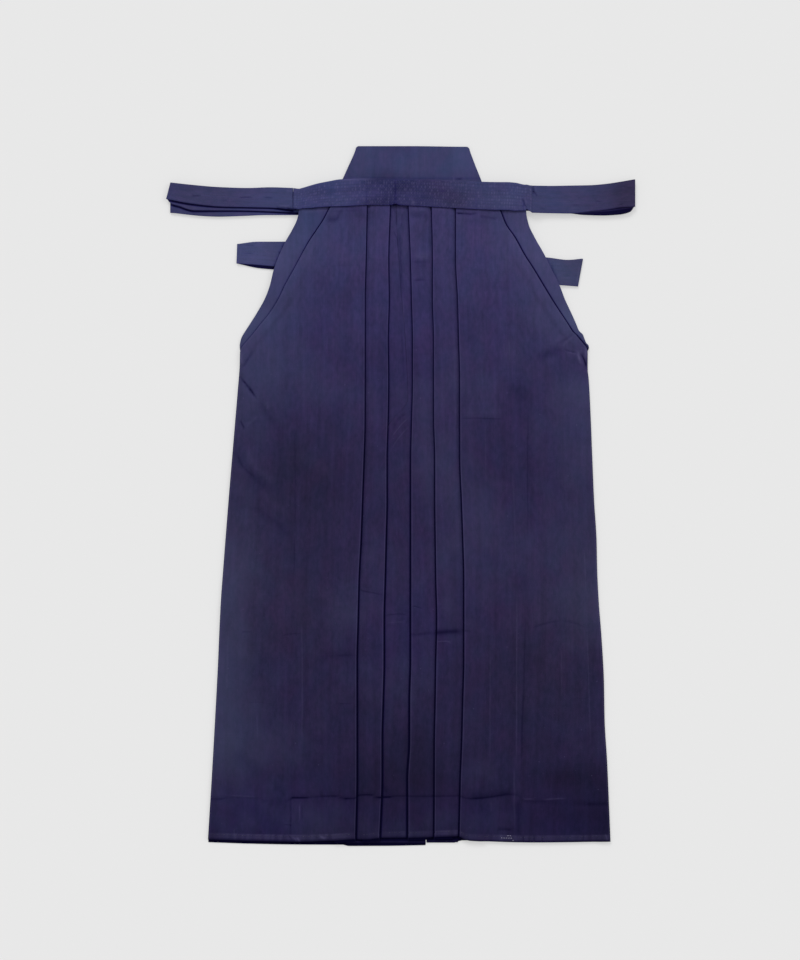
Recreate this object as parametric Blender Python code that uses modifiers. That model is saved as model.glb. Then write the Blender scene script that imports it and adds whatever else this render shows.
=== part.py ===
"""Hakama trousers, folded in their pleats and laid flat on their back.

The garment lies on the plane z = 0 with its front up. +Y runs from the hems to the back board,
and +X is to the right of someone who looks down at the front, which is the wearer's left.
Right and left in names are the wearer's. Tables are in millimetres.
"""

import math
from collections import namedtuple

import bmesh
import bpy

MM = 0.001

# Driving sizes
CLOTH = 1.0  # wall of the trouser cloth
STRAP = 1.5  # wall of the waistband and the straps, which are sewn in several layers
BOARD = 3.5  # thickness of the covered back board
GAP = 0.3  # between pieces, at seams and between layers
LAYER = CLOTH + GAP
STRAP_LAYER = STRAP + GAP
HALF_LENGTH = 503.0  # from the middle to the top of the board, and to the lowest hem
FRONT_TOP = 431.0  # the fronts end here, inside the waistband
HEM = -495.0
SLIT_FOOT = 216.0  # the side seams end here, and the side slits begin
BOARD_BASE = 418.7

# Pleats
TURN = LAYER / 2  # radius of a folded edge, at the middle of the wall
FOLD_REACH = 0.71 * CLOTH  # how far the wall goes past the middle of a folded edge
SIDE_PLEAT_DEPTH = 30.0  # of the outermost pleat on each leg
INNER_PLEAT_SHARE = 0.72  # depth of an inner pleat, as a share of the strip it lies under
RAMP = 12.0  # the cloth climbs on to a pleat over this width
CLEAR = 2.0  # it lies flat for this much past the edge of the pleat above
TURNED_IN = 12.0  # width of cloth that is turned in along each side of the fronts
STRIP_UNDER = 8.0  # the strip beside a slit goes this far under the front
STRIP_END = 222.0  # its lower end
STRIP_STEPS = 9  # across the strip, so that it follows the same slope as the front above it
SETTLED = 190.0  # from the strip's end down to here, the front comes down by one layer

# Where the pleats' edges lie, counted from the wearer's right. 1 and 2 face the wearer's left,
# and 3, 4 and 5 face the wearer's right, over the strip in the middle.
Pleats = namedtuple("Pleats", "y edge_1 edge_2 edge_3 edge_4 edge_5")
PLEATS = [
    Pleats(431, -48.6, -15.2, 10.2, 42.8, 76.4),
    Pleats(300, -51.0, -17.2, 14.4, 44.6, 80.6),
    Pleats(138, -51.8, -18.7, 14.4, 46.1, 83.5),
    Pleats(-6, -55.4, -20.2, 13.0, 47.5, 86.4),
    Pleats(-150, -60.5, -23.8, 13.0, 49.7, 90.0),
    Pleats(-294, -63.4, -25.9, 11.5, 48.2, 87.8),
    Pleats(-495, -64.1, -30.2, 9.4, 46.1, 82.1),
]

# The outer edge at each side, and the folded edge of the front. Between them, above the slit's foot,
# shows the slanted strip.
Side = namedtuple("Side", "y edge fold")
RIGHT_SIDE = [
    Side(431, -147.0, -96.0),
    Side(407, -148.0, -109.0),
    Side(381, -158.0, -124.0),
    Side(364, -167.0, -135.0),
    Side(325, -184.0, -156.5),
    Side(303, -189.0, -169.0),
    Side(286, -196.0, -177.0),
    Side(256, -213.0, -197.0),
    Side(239, -223.0, -211.0),
    Side(227, -230.0, -221.5),
    Side(216, -232.0, -228.0),
    Side(206, -232.4, -232.4),
    Side(170, -234.7, -234.7),
    Side(66, -243.4, -243.4),
    Side(-78, -255.0, -255.0),
    Side(-222, -263.5, -263.5),
    Side(-366, -270.7, -270.7),
    Side(-495, -278.0, -278.0),
]
LEFT_SIDE = [
    Side(431, 179.5, 134.0),
    Side(407, 180.0, 145.0),
    Side(390, 183.0, 152.0),
    Side(372, 191.5, 165.0),
    Side(345, 207.0, 180.0),
    Side(303, 227.5, 205.0),
    Side(282, 235.0, 218.0),
    Side(265, 243.5, 229.0),
    Side(247, 251.0, 241.0),
    Side(236, 257.5, 249.0),
    Side(227, 265.0, 257.0),
    Side(216, 269.3, 265.0),
    Side(206, 269.3, 269.3),
    Side(170, 269.3, 269.3),
    Side(66, 273.6, 273.6),
    Side(-78, 281.0, 281.0),
    Side(-222, 288.7, 288.7),
    Side(-366, 294.0, 294.0),
    Side(-495, 300.2, 300.2),
]

# The seam between the legs. It shows in the middle strip down to the crotch, then slips under pleat 2.
Seam = namedtuple("Seam", "y x")
LEG_SEAM = [
    Seam(431, -7.0),
    Seam(390, -6.0),
    Seam(296, 0.0),
    Seam(224, 6.0),
    Seam(140, 10.0),
    Seam(104, -15.8),
    Seam(60, -34.0),
    Seam(-150, -38.0),
    Seam(-495, -44.0),
]

# Height of the fronts' lowest layer, at the middle of its wall: inside, and along the outer edges.
Height = namedtuple("Height", "y inside edge")
HEIGHTS = [
    Height(431, 6.2, 7.8),
    Height(409, 6.2, 7.6),
    Height(396, 5.9, 6.6),
    Height(376, 5.6, 5.4),
    Height(292, 5.4, 5.4),
    Height(265, 4.7, 2.4),
    Height(216, 4.4, 1.8),
    Height(0, 4.4, 1.8),
    Height(-110, 3.1, 1.8),
    Height(-495, 3.1, 1.8),
]
# That height holds from the outer edge to the first width, and has changed fully at the second.
Shoulder = namedtuple("Shoulder", "y flat full")
SHOULDERS = [Shoulder(431, 30, 45), Shoulder(400, 30, 45), Shoulder(300, 5, 110), Shoulder(-495, 5, 110)]

# The lower edges of the fronts, across the garment.
Hem = namedtuple("Hem", "x y")
FRONT_HEM = [Hem(-278, -494.3), Hem(-145, -497.5), Hem(-68, -494.8), Hem(-30, -494.8), Hem(10, -494.0),
             Hem(82, -493.5), Hem(120, -495.5), Hem(190, -498.0), Hem(300, -495.7)]
HEM_REACH = 110.0  # the hem's own line fades out at this height above it
FRONT_ROWS = [-495, -440, -330, -220, -110, 0, 80, 120, 150, 190, 206, 222, 240, 258, 280, 303, 325, 345, 366,
              386, 407, 431]

# The backs: the fold at the middle, and how far each back runs inwards from it, inside the garment.
Back = namedtuple("Back", "y centre inside_right inside_left")
BACKS = [
    Back(418.4, 14.0, 44, 30),
    Back(216, 20.0, 70, 34),
    Back(-150, 30.0, 96, 40),
    Back(-503, 36.0, 114, 45),
]
BACK_TOP_RIGHT = -105.0
BACK_TOP_LEFT = 126.0
BACK_TOP = BOARD_BASE - GAP
BACK_ROWS = [-503, -440, -330, -220, -110, 0, 110, 216, 280, 345, 418.4]
BACK_HEM_RIGHT = [Hem(-278, -494.0), Hem(-160, -500.0), Hem(36, -503.0)]
BACK_HEM_LEFT = [Hem(36, -498.6), Hem(81, -496.0), Hem(300, -495.2)]
FOLD_HEM_RIGHT = -503.0
FOLD_HEM_LEFT = -498.6

# The waistband: a band folded over the top of the fronts.
Station = namedtuple("Station", "x bottom top rear front")
WAISTBAND = [
    Station(-148.0, 412.5, 445.0, 6.3, 10.0),
    Station(-132.0, 413.0, 447.8, 6.3, 10.4),
    Station(-120.0, 414.0, 450.0, 6.2, 11.1),
    Station(-105.0, 415.0, 452.0, 4.7, 11.0),
    Station(-86.0, 415.5, 454.5, 4.7, 10.6),
    Station(-50.0, 417.0, 455.2, 4.7, 10.5),
    Station(-10.0, 417.0, 455.0, 4.7, 10.4),
    Station(30.0, 415.5, 454.0, 4.7, 10.4),
    Station(75.0, 413.0, 452.6, 4.7, 10.5),
    Station(114.0, 411.0, 451.2, 4.7, 10.6),
    Station(137.0, 410.2, 451.0, 4.7, 11.0),
    Station(152.0, 410.0, 450.6, 6.2, 11.1),
    Station(164.0, 409.2, 449.5, 6.3, 10.4),
    Station(180.0, 408.5, 446.5, 6.3, 10.0),
]
BAND_TURN = 1.3  # radius of the fold along the waistband's top

# Straps, as sections across them from one long edge, p, to the other, q. A fold has the height of
# the run that leaves it in up_to, and turns over its own section, towards the direction (dx, dy).
Across = namedtuple("Across", "px py qx qy z up_to dx dy", defaults=(None, 0, 0))
RUN = [STRAP / 2 + STRAP_LAYER * n for n in range(4)]  # heights of runs lying on each other, on the floor
ON_BACK = [RUN[0] + LAYER, RUN[1] + LAYER]  # the same, where they lie on the back's cloth
BAND_END = 9.4  # height at which a front strap leaves the waistband
FRONT_STRAP_RIGHT = [
    Across(-148.4, 413.0, -148.4, 444.0, BAND_END),
    Across(-188.0, 416.5, -188.0, 444.5, RUN[3]),
    Across(-260.0, 417.0, -260.0, 445.0, RUN[3]),
    Across(-302.0, 421.0, -300.0, 447.5, RUN[3]),
    Across(-335.1, 427.0, -329.5, 450.4, RUN[3], RUN[2], -1, 0),
    Across(-299.0, 411.5, -299.0, 441.0, RUN[2]),
    Across(-229.0, 410.0, -229.0, 440.0, RUN[2]),
    Across(-123.0, 411.0, -123.0, 440.0, RUN[2], RUN[1], 1, 0),
    Across(-192.0, 405.3, -192.0, 434.5, RUN[1]),
    Across(-284.0, 403.5, -284.0, 432.5, RUN[1]),
    Across(-329.0, 407.0, -329.0, 436.0, RUN[1], RUN[0], -1, 0),
    Across(-284.0, 404.5, -284.0, 433.5, RUN[0]),
    Across(-125.0, 408.0, -125.0, 437.0, RUN[0]),
]
FRONT_STRAP_LEFT = [
    Across(180.4, 408.5, 180.4, 446.5, BAND_END),
    Across(216.0, 406.7, 216.0, 446.0, RUN[3]),
    Across(272.0, 407.6, 272.0, 447.5, RUN[3]),
    Across(297.0, 410.0, 297.0, 449.2, RUN[3]),
    Across(318.0, 413.5, 318.0, 453.0, RUN[3]),
    Across(335.1, 415.5, 335.1, 455.4, RUN[3], RUN[2], 1, 0),
    Across(314.0, 405.6, 316.0, 448.0, RUN[2]),
    Across(290.0, 403.5, 290.0, 446.0, RUN[2]),
    Across(240.0, 406.0, 240.0, 446.0, RUN[2]),
    Across(155.0, 407.0, 155.0, 446.0, RUN[2], RUN[1], -1, 0),
    Across(240.0, 407.5, 240.0, 446.0, RUN[1]),
    Across(329.0, 414.0, 329.0, 451.0, RUN[1], RUN[0], 1, 0),
    Across(240.0, 408.0, 240.0, 446.0, RUN[0]),
    Across(157.0, 407.5, 157.0, 446.0, RUN[0]),
]
BACK_STRAP_RIGHT = [
    Across(-104.0, 418.4, -64.0, 418.4, ON_BACK[0]),
    Across(-104.0, 370.0, -64.0, 392.0, ON_BACK[0]),
    Across(-104.0, 326.0, -64.0, 366.0, ON_BACK[0], ON_BACK[1], 1, -1),
    Across(-150.0, 326.0, -130.0, 366.0, ON_BACK[1]),
    Across(-174.0, 327.0, -172.0, 365.5, ON_BACK[1]),
    Across(-206.0, 329.5, -206.0, 364.5, RUN[1]),
    Across(-234.5, 333.0, -234.5, 361.8, RUN[1], RUN[0], -1, 0),
    Across(-206.0, 326.0, -206.0, 362.5, RUN[0]),
    Across(-174.0, 323.8, -174.0, 363.0, ON_BACK[0]),
    Across(-112.0, 325.0, -112.0, 364.0, ON_BACK[0]),
]
BACK_STRAP_LEFT = [
    Across(126.0, 418.4, 86.0, 418.4, ON_BACK[0]),
    Across(126.0, 362.0, 86.0, 384.0, ON_BACK[0]),
    Across(126.0, 309.0, 86.0, 349.0, ON_BACK[0], ON_BACK[1], -1, -1),
    Across(160.0, 307.0, 150.0, 347.0, ON_BACK[1]),
    Across(219.0, 303.6, 216.0, 342.0, ON_BACK[1]),
    Across(238.0, 301.6, 242.0, 339.8, RUN[1]),
    Across(252.0, 300.6, 259.8, 341.2, RUN[1], RUN[0], 1, -0.19),
    Across(238.0, 302.0, 242.0, 340.2, RUN[0]),
    Across(219.0, 304.0, 219.0, 342.4, ON_BACK[0]),
    Across(134.0, 309.0, 134.0, 348.0, ON_BACK[0]),
]

# The back board, from the left end of its base round to the right end.
BoardPoint = namedtuple("BoardPoint", "x y")
BOARD_OUTLINE = [
    BoardPoint(-105.0, 418.7), BoardPoint(-84.5, 453.0), BoardPoint(-75.5, 475.0), BoardPoint(-66.0, 499.0),
    BoardPoint(-61.0, 503.0), BoardPoint(15.0, 503.0), BoardPoint(93.0, 501.0), BoardPoint(97.5, 497.5),
    BoardPoint(105.0, 476.0), BoardPoint(114.5, 451.0), BoardPoint(126.0, 418.7),
]
BOARD_ROUNDING = 0.9

# The gusset between the legs, folded in two under the pleats.
GUSSET_TOP = (14.0, 150.0)
GUSSET_HALF_WIDTH = 42.0
GUSSET_BOTTOM = 42.0
GUSSET_HEIGHT = 3.1


def read_off(table, column, at):
    """The column's value at a place along the table's first column, on a smooth curve through it."""
    rows = sorted(table)
    if at <= rows[0][0]:
        return getattr(rows[0], column)
    if at >= rows[-1][0]:
        return getattr(rows[-1], column)
    k = next(i for i, row in enumerate(rows) if at < row[0]) - 1
    places = [row[0] for row in rows]
    values = [getattr(row, column) for row in rows]
    chords = [(values[i + 1] - values[i]) / (places[i + 1] - places[i]) for i in range(len(rows) - 1)]

    def slope(i):
        if i == 0 or i == len(rows) - 1:
            return chords[min(i, len(chords) - 1)]
        before, after = chords[i - 1], chords[i]
        return 0.0 if before * after <= 0 else 2 * before * after / (before + after)

    span = places[k + 1] - places[k]
    t = (at - places[k]) / span
    start, end = slope(k) * span, slope(k + 1) * span
    rise = values[k + 1] - values[k]
    return values[k] + t * (start + t * (3 * rise - 2 * start - end + t * (start + end - 2 * rise)))


def blend(a, b, share):
    return a + (b - a) * share


def ease(share):
    share = min(1.0, max(0.0, share))
    return share * share * (3 - 2 * share)


def base_height(x, y, edge):
    """Height of the fronts' lowest layer at a place, from how far it lies inside the outer edge."""
    inside, outside = read_off(HEIGHTS, "inside", y), read_off(HEIGHTS, "edge", y)
    flat, full = read_off(SHOULDERS, "flat", y), read_off(SHOULDERS, "full", y)
    return blend(outside, inside, ease((abs(x - edge) - flat) / (full - flat)))


def fold(x, inward, facing, first, last):
    """Three points round a folded edge at x, as (x, layer), from layer first to layer last."""
    back = -inward * facing * TURN
    return [(x + back, first), (x, (first + last) / 2), (x + back, last)]


def front_profile(y, sides, inward, edges):
    """One front across at y, as (x, layer), from the cloth turned in at its side to the leg seam."""
    side = read_off(sides, "fold", y)
    turned = side + inward * TURNED_IN
    under = ease((y - SETTLED) / (STRIP_END - SETTLED))  # the strip lies below, down to its end
    points = [(turned, under), (blend(side, turned, 0.5), under)]
    points += fold(side, inward, -1, under, under + 1)
    points += [(turned, under + 1)]
    pleat_heel = edges[0] - inward * SIDE_PLEAT_DEPTH
    room = inward * (pleat_heel - turned)
    low = (under + 1) * (1 - ease((room - 20) / 60))
    ramp = min(RAMP, room / 3)
    for share in (0.0, 0.33, 0.67, 1.0):
        points.append((blend(turned + inward * ramp, pleat_heel - inward * ramp, share), low))
    for number, pleat in enumerate(edges):
        depth = SIDE_PLEAT_DEPTH if number == 0 else INNER_PLEAT_SHARE * abs(pleat - edges[number - 1])
        pleat_heel = pleat - inward * depth
        points.append((pleat_heel, 2))
        points += fold(pleat, inward, 1, 2, 1)
        points += fold(pleat_heel, inward, -1, 1, 0)
        if number < len(edges) - 1:
            points.append((pleat + inward * CLEAR, 0))
    seam = read_off(LEG_SEAM, "x", y) - inward * GAP / 2
    points += [(blend(points[-1][0], seam, 0.5), 0), (seam, 0)]
    return points


def front_grid(sides, inward, pleat_names):
    """Rows of points over one front, from the hem to the waistband."""
    grid = []
    for y in FRONT_ROWS:
        edge = read_off(sides, "edge", y)
        edges = [read_off(PLEATS, name, y) for name in pleat_names]
        hem_share = max(0.0, 1 - (y - HEM) / HEM_REACH)
        row = []
        for x, layer in front_profile(y, sides, inward, edges):
            lift = hem_share * (read_off(FRONT_HEM, "y", x) - HEM)
            row.append((x, y + lift, base_height(x, y, edge) + LAYER * layer))
        grid.append(row)
    return grid


def slit_strip_grid(sides, inward):
    """Rows of points over the strip beside a slit, from its lower end to the waistband."""
    grid = []
    for y in [STRIP_END] + [row for row in FRONT_ROWS if row > STRIP_END]:
        edge = read_off(sides, "edge", y)
        under = read_off(sides, "fold", y) + inward * STRIP_UNDER
        row = [blend(edge, under, n / STRIP_STEPS) for n in range(STRIP_STEPS + 1)]
        grid.append([(x, y, base_height(x, y, edge)) for x in row])
    return grid


def back_side(y, sides, top):
    """The outer edge of a back: the side seam, and above it a straight slant to the board."""
    if y <= SLIT_FOOT:
        return read_off(sides, "edge", y)
    return blend(read_off(sides, "edge", SLIT_FOOT), top, (y - SLIT_FOOT) / (BACK_TOP - SLIT_FOOT))


def back_grid(sides, inward, top, inside, hems, centre_gap):
    """Rows of points over one back: its outer layer on the floor, and the fold inside the garment."""
    grid = []
    hem, fold_hem = hems
    for y in BACK_ROWS:
        side = back_side(y, sides, top)
        centre = read_off(BACKS, "centre", y) - inward * (centre_gap + FOLD_REACH)
        inner = centre - inward * read_off(BACKS, inside, y)
        hem_share = max(0.0, 1 - (y + HALF_LENGTH) / HEM_REACH)
        points = [(blend(side, centre, share), 0) for share in (0.0, 0.35, 0.7)]
        points += fold(centre, inward, 1, 0, 1)
        points += [(blend(centre, inner, 0.5), 1), (inner, 1)]
        row = []
        for x, layer in points:
            low = blend(read_off(hem, "y", x), fold_hem, layer)
            row.append((x, y + hem_share * (low + HALF_LENGTH), CLOTH / 2 + LAYER * layer))
        grid.append(row)
    return grid


def waistband_grid():
    """Sections of the waistband: down its face, round the fold along its top and down its rear."""
    grid = []
    for s in WAISTBAND:
        section = [(s.bottom, s.front), (s.bottom + 8, s.front), (FRONT_TOP + 3, s.front)]
        middle = s.top - BAND_TURN
        for degrees in (90, 45, 0, -45, -90):
            angle = math.radians(degrees)
            section.append((middle + BAND_TURN * math.cos(angle), s.rear + BAND_TURN * (1 + math.sin(angle))))
        section += [(blend(middle, s.bottom, 0.5), s.rear), (s.bottom + 2, s.rear)]
        grid.append([(s.x, y, z) for y, z in section])
    return grid


def strap_grid(sections):
    """Rows of points along a strap, with its folds turned round."""
    grid = []
    for s in sections:
        if s.up_to is None:
            grid.append([(s.px, s.py, s.z), (s.qx, s.qy, s.z)])
            continue
        radius = abs(s.up_to - s.z) / 2
        middle = (s.up_to + s.z) / 2
        length = math.hypot(s.dx, s.dy)
        for degrees in (-90, -45, 0, 45, 90):
            angle = math.radians(degrees)
            out = radius * math.cos(angle)
            z = middle + (s.up_to - s.z) / 2 * math.sin(angle)
            move_x, move_y = out * s.dx / length, out * s.dy / length
            grid.append([(s.px + move_x, s.py + move_y, z), (s.qx + move_x, s.qy + move_y, z)])
    return grid


def make_material(name, colour):
    material = bpy.data.materials.new(name)
    material.use_nodes = True
    shader = material.node_tree.nodes["Principled BSDF"]
    shader.inputs["Base Color"].default_value = (*colour, 1.0)
    shader.inputs["Roughness"].default_value = 0.85
    shader.inputs["Metallic"].default_value = 0.0
    return material


def add_object(name, data, collection, material):
    data.materials.append(material)
    made = bpy.data.objects.new(name, data)
    collection.objects.link(made)
    return made


def sheet(name, grid, wall, collection, material):
    """A wall of cloth: an open surface through the grid's rows, thickened evenly to both sides."""
    mesh = bpy.data.meshes.new(name)
    surface = bmesh.new()
    rows = [[surface.verts.new((x * MM, y * MM, z * MM)) for x, y, z in row] for row in grid]
    for low, high in zip(rows, rows[1:]):
        for a, b, c, d in zip(low, low[1:], high[1:], high):
            surface.faces.new((a, b, c, d))
    surface.to_mesh(mesh)
    surface.free()
    made = add_object(name, mesh, collection, material)
    thicken = made.modifiers.new("wall", "SOLIDIFY")
    thicken.thickness = wall * MM
    thicken.offset = 0.0
    thicken.use_even_offset = True
    return made


def flat_outline(name, points, low, thickness, rounding, collection, material):
    """A flat piece with rounded rims, filled inside its outline."""
    curve = bpy.data.curves.new(name, "CURVE")
    curve.dimensions = "2D"
    curve.fill_mode = "BOTH"
    curve.extrude = (thickness / 2 - rounding) * MM
    curve.bevel_depth = rounding * MM
    curve.bevel_resolution = 1
    curve.offset = -rounding * MM
    line = curve.splines.new("POLY")
    line.points.add(len(points) - 1)
    for spot, (x, y) in zip(line.points, points):
        spot.co = (x * MM, y * MM, 0.0, 1.0)
    line.use_cyclic_u = True
    made = add_object(name, curve, collection, material)
    made.location.z = (low + thickness / 2) * MM
    return made


def clear_scene():
    for thing in list(bpy.data.objects):
        bpy.data.objects.remove(thing, do_unlink=True)


def main():
    clear_scene()
    hakama = bpy.data.collections.new("hakama")
    bpy.context.scene.collection.children.link(hakama)
    body_cloth = make_material("body_cloth", (0.040, 0.036, 0.095))
    strap_cloth = make_material("strap_cloth", (0.052, 0.052, 0.125))
    board_cloth = make_material("board_cloth", (0.050, 0.055, 0.130))

    right_front = front_grid(RIGHT_SIDE, 1, ("edge_1", "edge_2"))
    left_front = front_grid(LEFT_SIDE, -1, ("edge_5", "edge_4", "edge_3"))
    sheet("front_right_leg", right_front, CLOTH, hakama, body_cloth)
    sheet("front_left_leg", left_front, CLOTH, hakama, body_cloth)
    sheet("slit_strip_right", slit_strip_grid(RIGHT_SIDE, 1), CLOTH, hakama, body_cloth)
    sheet("slit_strip_left", slit_strip_grid(LEFT_SIDE, -1), CLOTH, hakama, body_cloth)

    right_hems = (BACK_HEM_RIGHT, FOLD_HEM_RIGHT)
    left_hems = (BACK_HEM_LEFT, FOLD_HEM_LEFT)
    right_back = back_grid(RIGHT_SIDE, 1, BACK_TOP_RIGHT, "inside_right", right_hems, 0.0)
    left_back = back_grid(LEFT_SIDE, -1, BACK_TOP_LEFT, "inside_left", left_hems, GAP)
    sheet("back_right_leg", right_back, CLOTH, hakama, body_cloth)
    sheet("back_left_leg", left_back, CLOTH, hakama, body_cloth)

    apex_x, apex_y = GUSSET_TOP
    low_corners = [(apex_x + side * GUSSET_HALF_WIDTH, GUSSET_BOTTOM) for side in (-1, 1)]
    gusset = [(apex_x, apex_y)] + low_corners
    flat_outline("crotch_gusset", gusset, GUSSET_HEIGHT - CLOTH / 2, CLOTH, 0.1, hakama, body_cloth)

    sheet("front_waistband", waistband_grid(), STRAP, hakama, strap_cloth)
    sheet("front_strap_right", strap_grid(FRONT_STRAP_RIGHT), STRAP, hakama, strap_cloth)
    sheet("front_strap_left", strap_grid(FRONT_STRAP_LEFT), STRAP, hakama, strap_cloth)
    sheet("back_strap_right", strap_grid(BACK_STRAP_RIGHT), STRAP, hakama, strap_cloth)
    sheet("back_strap_left", strap_grid(BACK_STRAP_LEFT), STRAP, hakama, strap_cloth)
    flat_outline("back_board", BOARD_OUTLINE, 0.0, BOARD, BOARD_ROUNDING, hakama, board_cloth)


main()
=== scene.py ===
# %% [markdown]
# # Hakama trousers, laid flat
# A hakama is a pair of wide pleated trousers. This one lies on its back, folded in its pleats, with the
# stiff back board standing out above the waistband and its four straps folded to the sides.
#
# The imported model gives the frame: where each piece lies and how big it is. Everything here is a finer
# version of those pieces. We load the frame first.

# %% Load the frame
import math
from collections import namedtuple

import bpy
import numpy as np
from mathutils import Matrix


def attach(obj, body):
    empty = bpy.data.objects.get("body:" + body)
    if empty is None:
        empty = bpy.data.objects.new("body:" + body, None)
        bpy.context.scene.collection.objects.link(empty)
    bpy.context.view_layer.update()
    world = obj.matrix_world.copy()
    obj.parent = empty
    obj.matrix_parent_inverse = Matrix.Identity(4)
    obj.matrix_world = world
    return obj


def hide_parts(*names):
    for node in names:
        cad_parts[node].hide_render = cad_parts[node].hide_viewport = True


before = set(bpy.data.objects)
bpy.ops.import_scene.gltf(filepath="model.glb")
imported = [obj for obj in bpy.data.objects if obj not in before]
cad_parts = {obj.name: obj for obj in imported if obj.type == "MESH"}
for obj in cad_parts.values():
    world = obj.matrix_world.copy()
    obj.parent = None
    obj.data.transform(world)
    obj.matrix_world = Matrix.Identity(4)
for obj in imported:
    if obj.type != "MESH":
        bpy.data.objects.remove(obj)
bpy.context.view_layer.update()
print("pieces in the frame:", ", ".join(sorted(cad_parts)))

# %% [markdown]
# ## Sizes
# The tables are in millimetres, as a tailor would write them, and the meshes are made in metres. +Y runs
# from the hems to the back board, +X to the wearer's left, and the floor is z = 0. Right and left are
# the wearer's everywhere. The cloth is drawn 0.8 mm thick. Its layers keep the frame's spacing, so that
# they never touch.

# %% Driving sizes
MM = 0.001
CLOTH = 0.8  # wall of the trouser cloth
STRAP = 1.5  # wall of the waistband and the straps
LAYER = 1.3  # from one layer of cloth to the next
STRAP_LAYER = 1.8
SEAM_GAP = 0.3
FRONT_TOP = 431.0  # the fronts end here, inside the waistband
HEM = -495.0
SIDE_PLEAT_DEPTH = 30.0  # of the outermost pleat on each leg
INNER_PLEAT_SHARE = 0.72  # depth of an inner pleat, as a share of the strip it lies under
TURNED_IN = 12.0  # width of cloth that is turned in along each side of the fronts
STRIP_END = 208.0  # the strip beside a slit ends here
SETTLED = 176.0  # from there down to here, the front comes down by one layer
RAMP = 12.0  # the cloth climbs on to a pleat over this width
print("cloth", CLOTH, "mm, in layers", LAYER, "mm apart")

# %% [markdown]
# ## Curves through tables
# A pleat's edge is written as a few places down the garment. To draw it we need a smooth curve through
# them. A plain cubic spline would swing past its points. This one takes the harmonic mean of the slopes
# on both sides of a point, which never overshoots, and it reads a whole array of places in one go.

# %% Tables and smooth curves


def rows_of(kind, *rows):
    """A table of that kind of row, several rows to a line."""
    return [kind(*row) for row in rows]


def through(places, values, at):
    places, values = np.asarray(places, float), np.asarray(values, float)
    order = np.argsort(places)
    places, values = places[order], values[order]
    span = np.diff(places)
    chord = np.diff(values) / span
    slope = np.zeros(len(places))
    slope[0], slope[-1] = chord[0], chord[-1]
    before, after = chord[:-1], chord[1:]
    same_way = before * after > 0
    total = np.where(same_way, before + after, 1.0)
    slope[1:-1] = np.where(same_way, 2 * before * after / total, 0.0)
    at = np.clip(at, places[0], places[-1])
    k = np.clip(np.searchsorted(places, at, side="right") - 1, 0, len(span) - 1)
    t = (at - places[k]) / span[k]
    start, end = slope[k] * span[k], slope[k + 1] * span[k]
    rise = values[k + 1] - values[k]
    return values[k] + t * (start + t * (3 * rise - 2 * start - end + t * (start + end - 2 * rise)))


def along(table, column, at):
    return through([row[0] for row in table], [getattr(row, column) for row in table], at)


def blend(a, b, share):
    return a + (b - a) * share


def ease(share):
    share = np.clip(share, 0.0, 1.0)
    return share * share * (3 - 2 * share)


def bell(off, reach):
    """1 in the middle, and falling off smoothly on both sides."""
    return np.exp(-((off / reach) ** 2))


def all_over(places, x):
    """One value for each row, repeated along that row of x."""
    return np.repeat(places[:, None], x.shape[1], axis=1)


# %% [markdown]
# ## The cut
# These tables say where the cloth lies. Two pleats on the wearer's right leg face the middle, and three
# on the left leg face it from the other side, over the strip in the middle. The edges wander by a
# millimetre or two, as pressed pleats do.

# %% Pleats, sides and seams
Pleats = namedtuple("Pleats", "y edge_1 edge_2 edge_3 edge_4 edge_5")
PLEATS = rows_of(
    Pleats,
    (431, -48.6, -15.2, 9.4, 42.6, 76.8), (409, -49, -15.8, 10.1, 43.2, 77.8),
    (340, -50.4, -18, 13, 44.6, 77.8), (282, -51.8, -17.3, 14.4, 44.6, 80.6),
    (224, -51.8, -18.7, 15.8, 46.1, 82.1), (167, -51.8, -18, 15.8, 46.1, 83.5),
    (109, -51.8, -18.7, 14.4, 46.1, 83.5), (52, -53.3, -20.2, 13, 47.5, 83.5),
    (-6, -55.4, -20.2, 13, 47.5, 85.7), (-64, -57.6, -21.6, 13, 48.2, 87.8),
    (-121, -60.5, -23, 13, 49, 89.3), (-179, -61.9, -24.5, 13, 50.4, 89.3),
    (-237, -63.4, -24.5, 13, 49, 89.3), (-294, -63.4, -25.9, 11.5, 48.2, 87.8),
    (-352, -63.4, -27.4, 11.5, 47, 86.4), (-409, -63.4, -27.4, 8.6, 46.8, 84.2),
    (-495, -64.8, -30.2, 8.6, 46.1, 82.1),
)
Side = namedtuple("Side", "y edge fold")


def side_row(y, edge, fold=None):
    """Below the slit's foot a side's outer edge is its folded edge too."""
    return Side(y, edge, edge if fold is None else fold)


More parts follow.
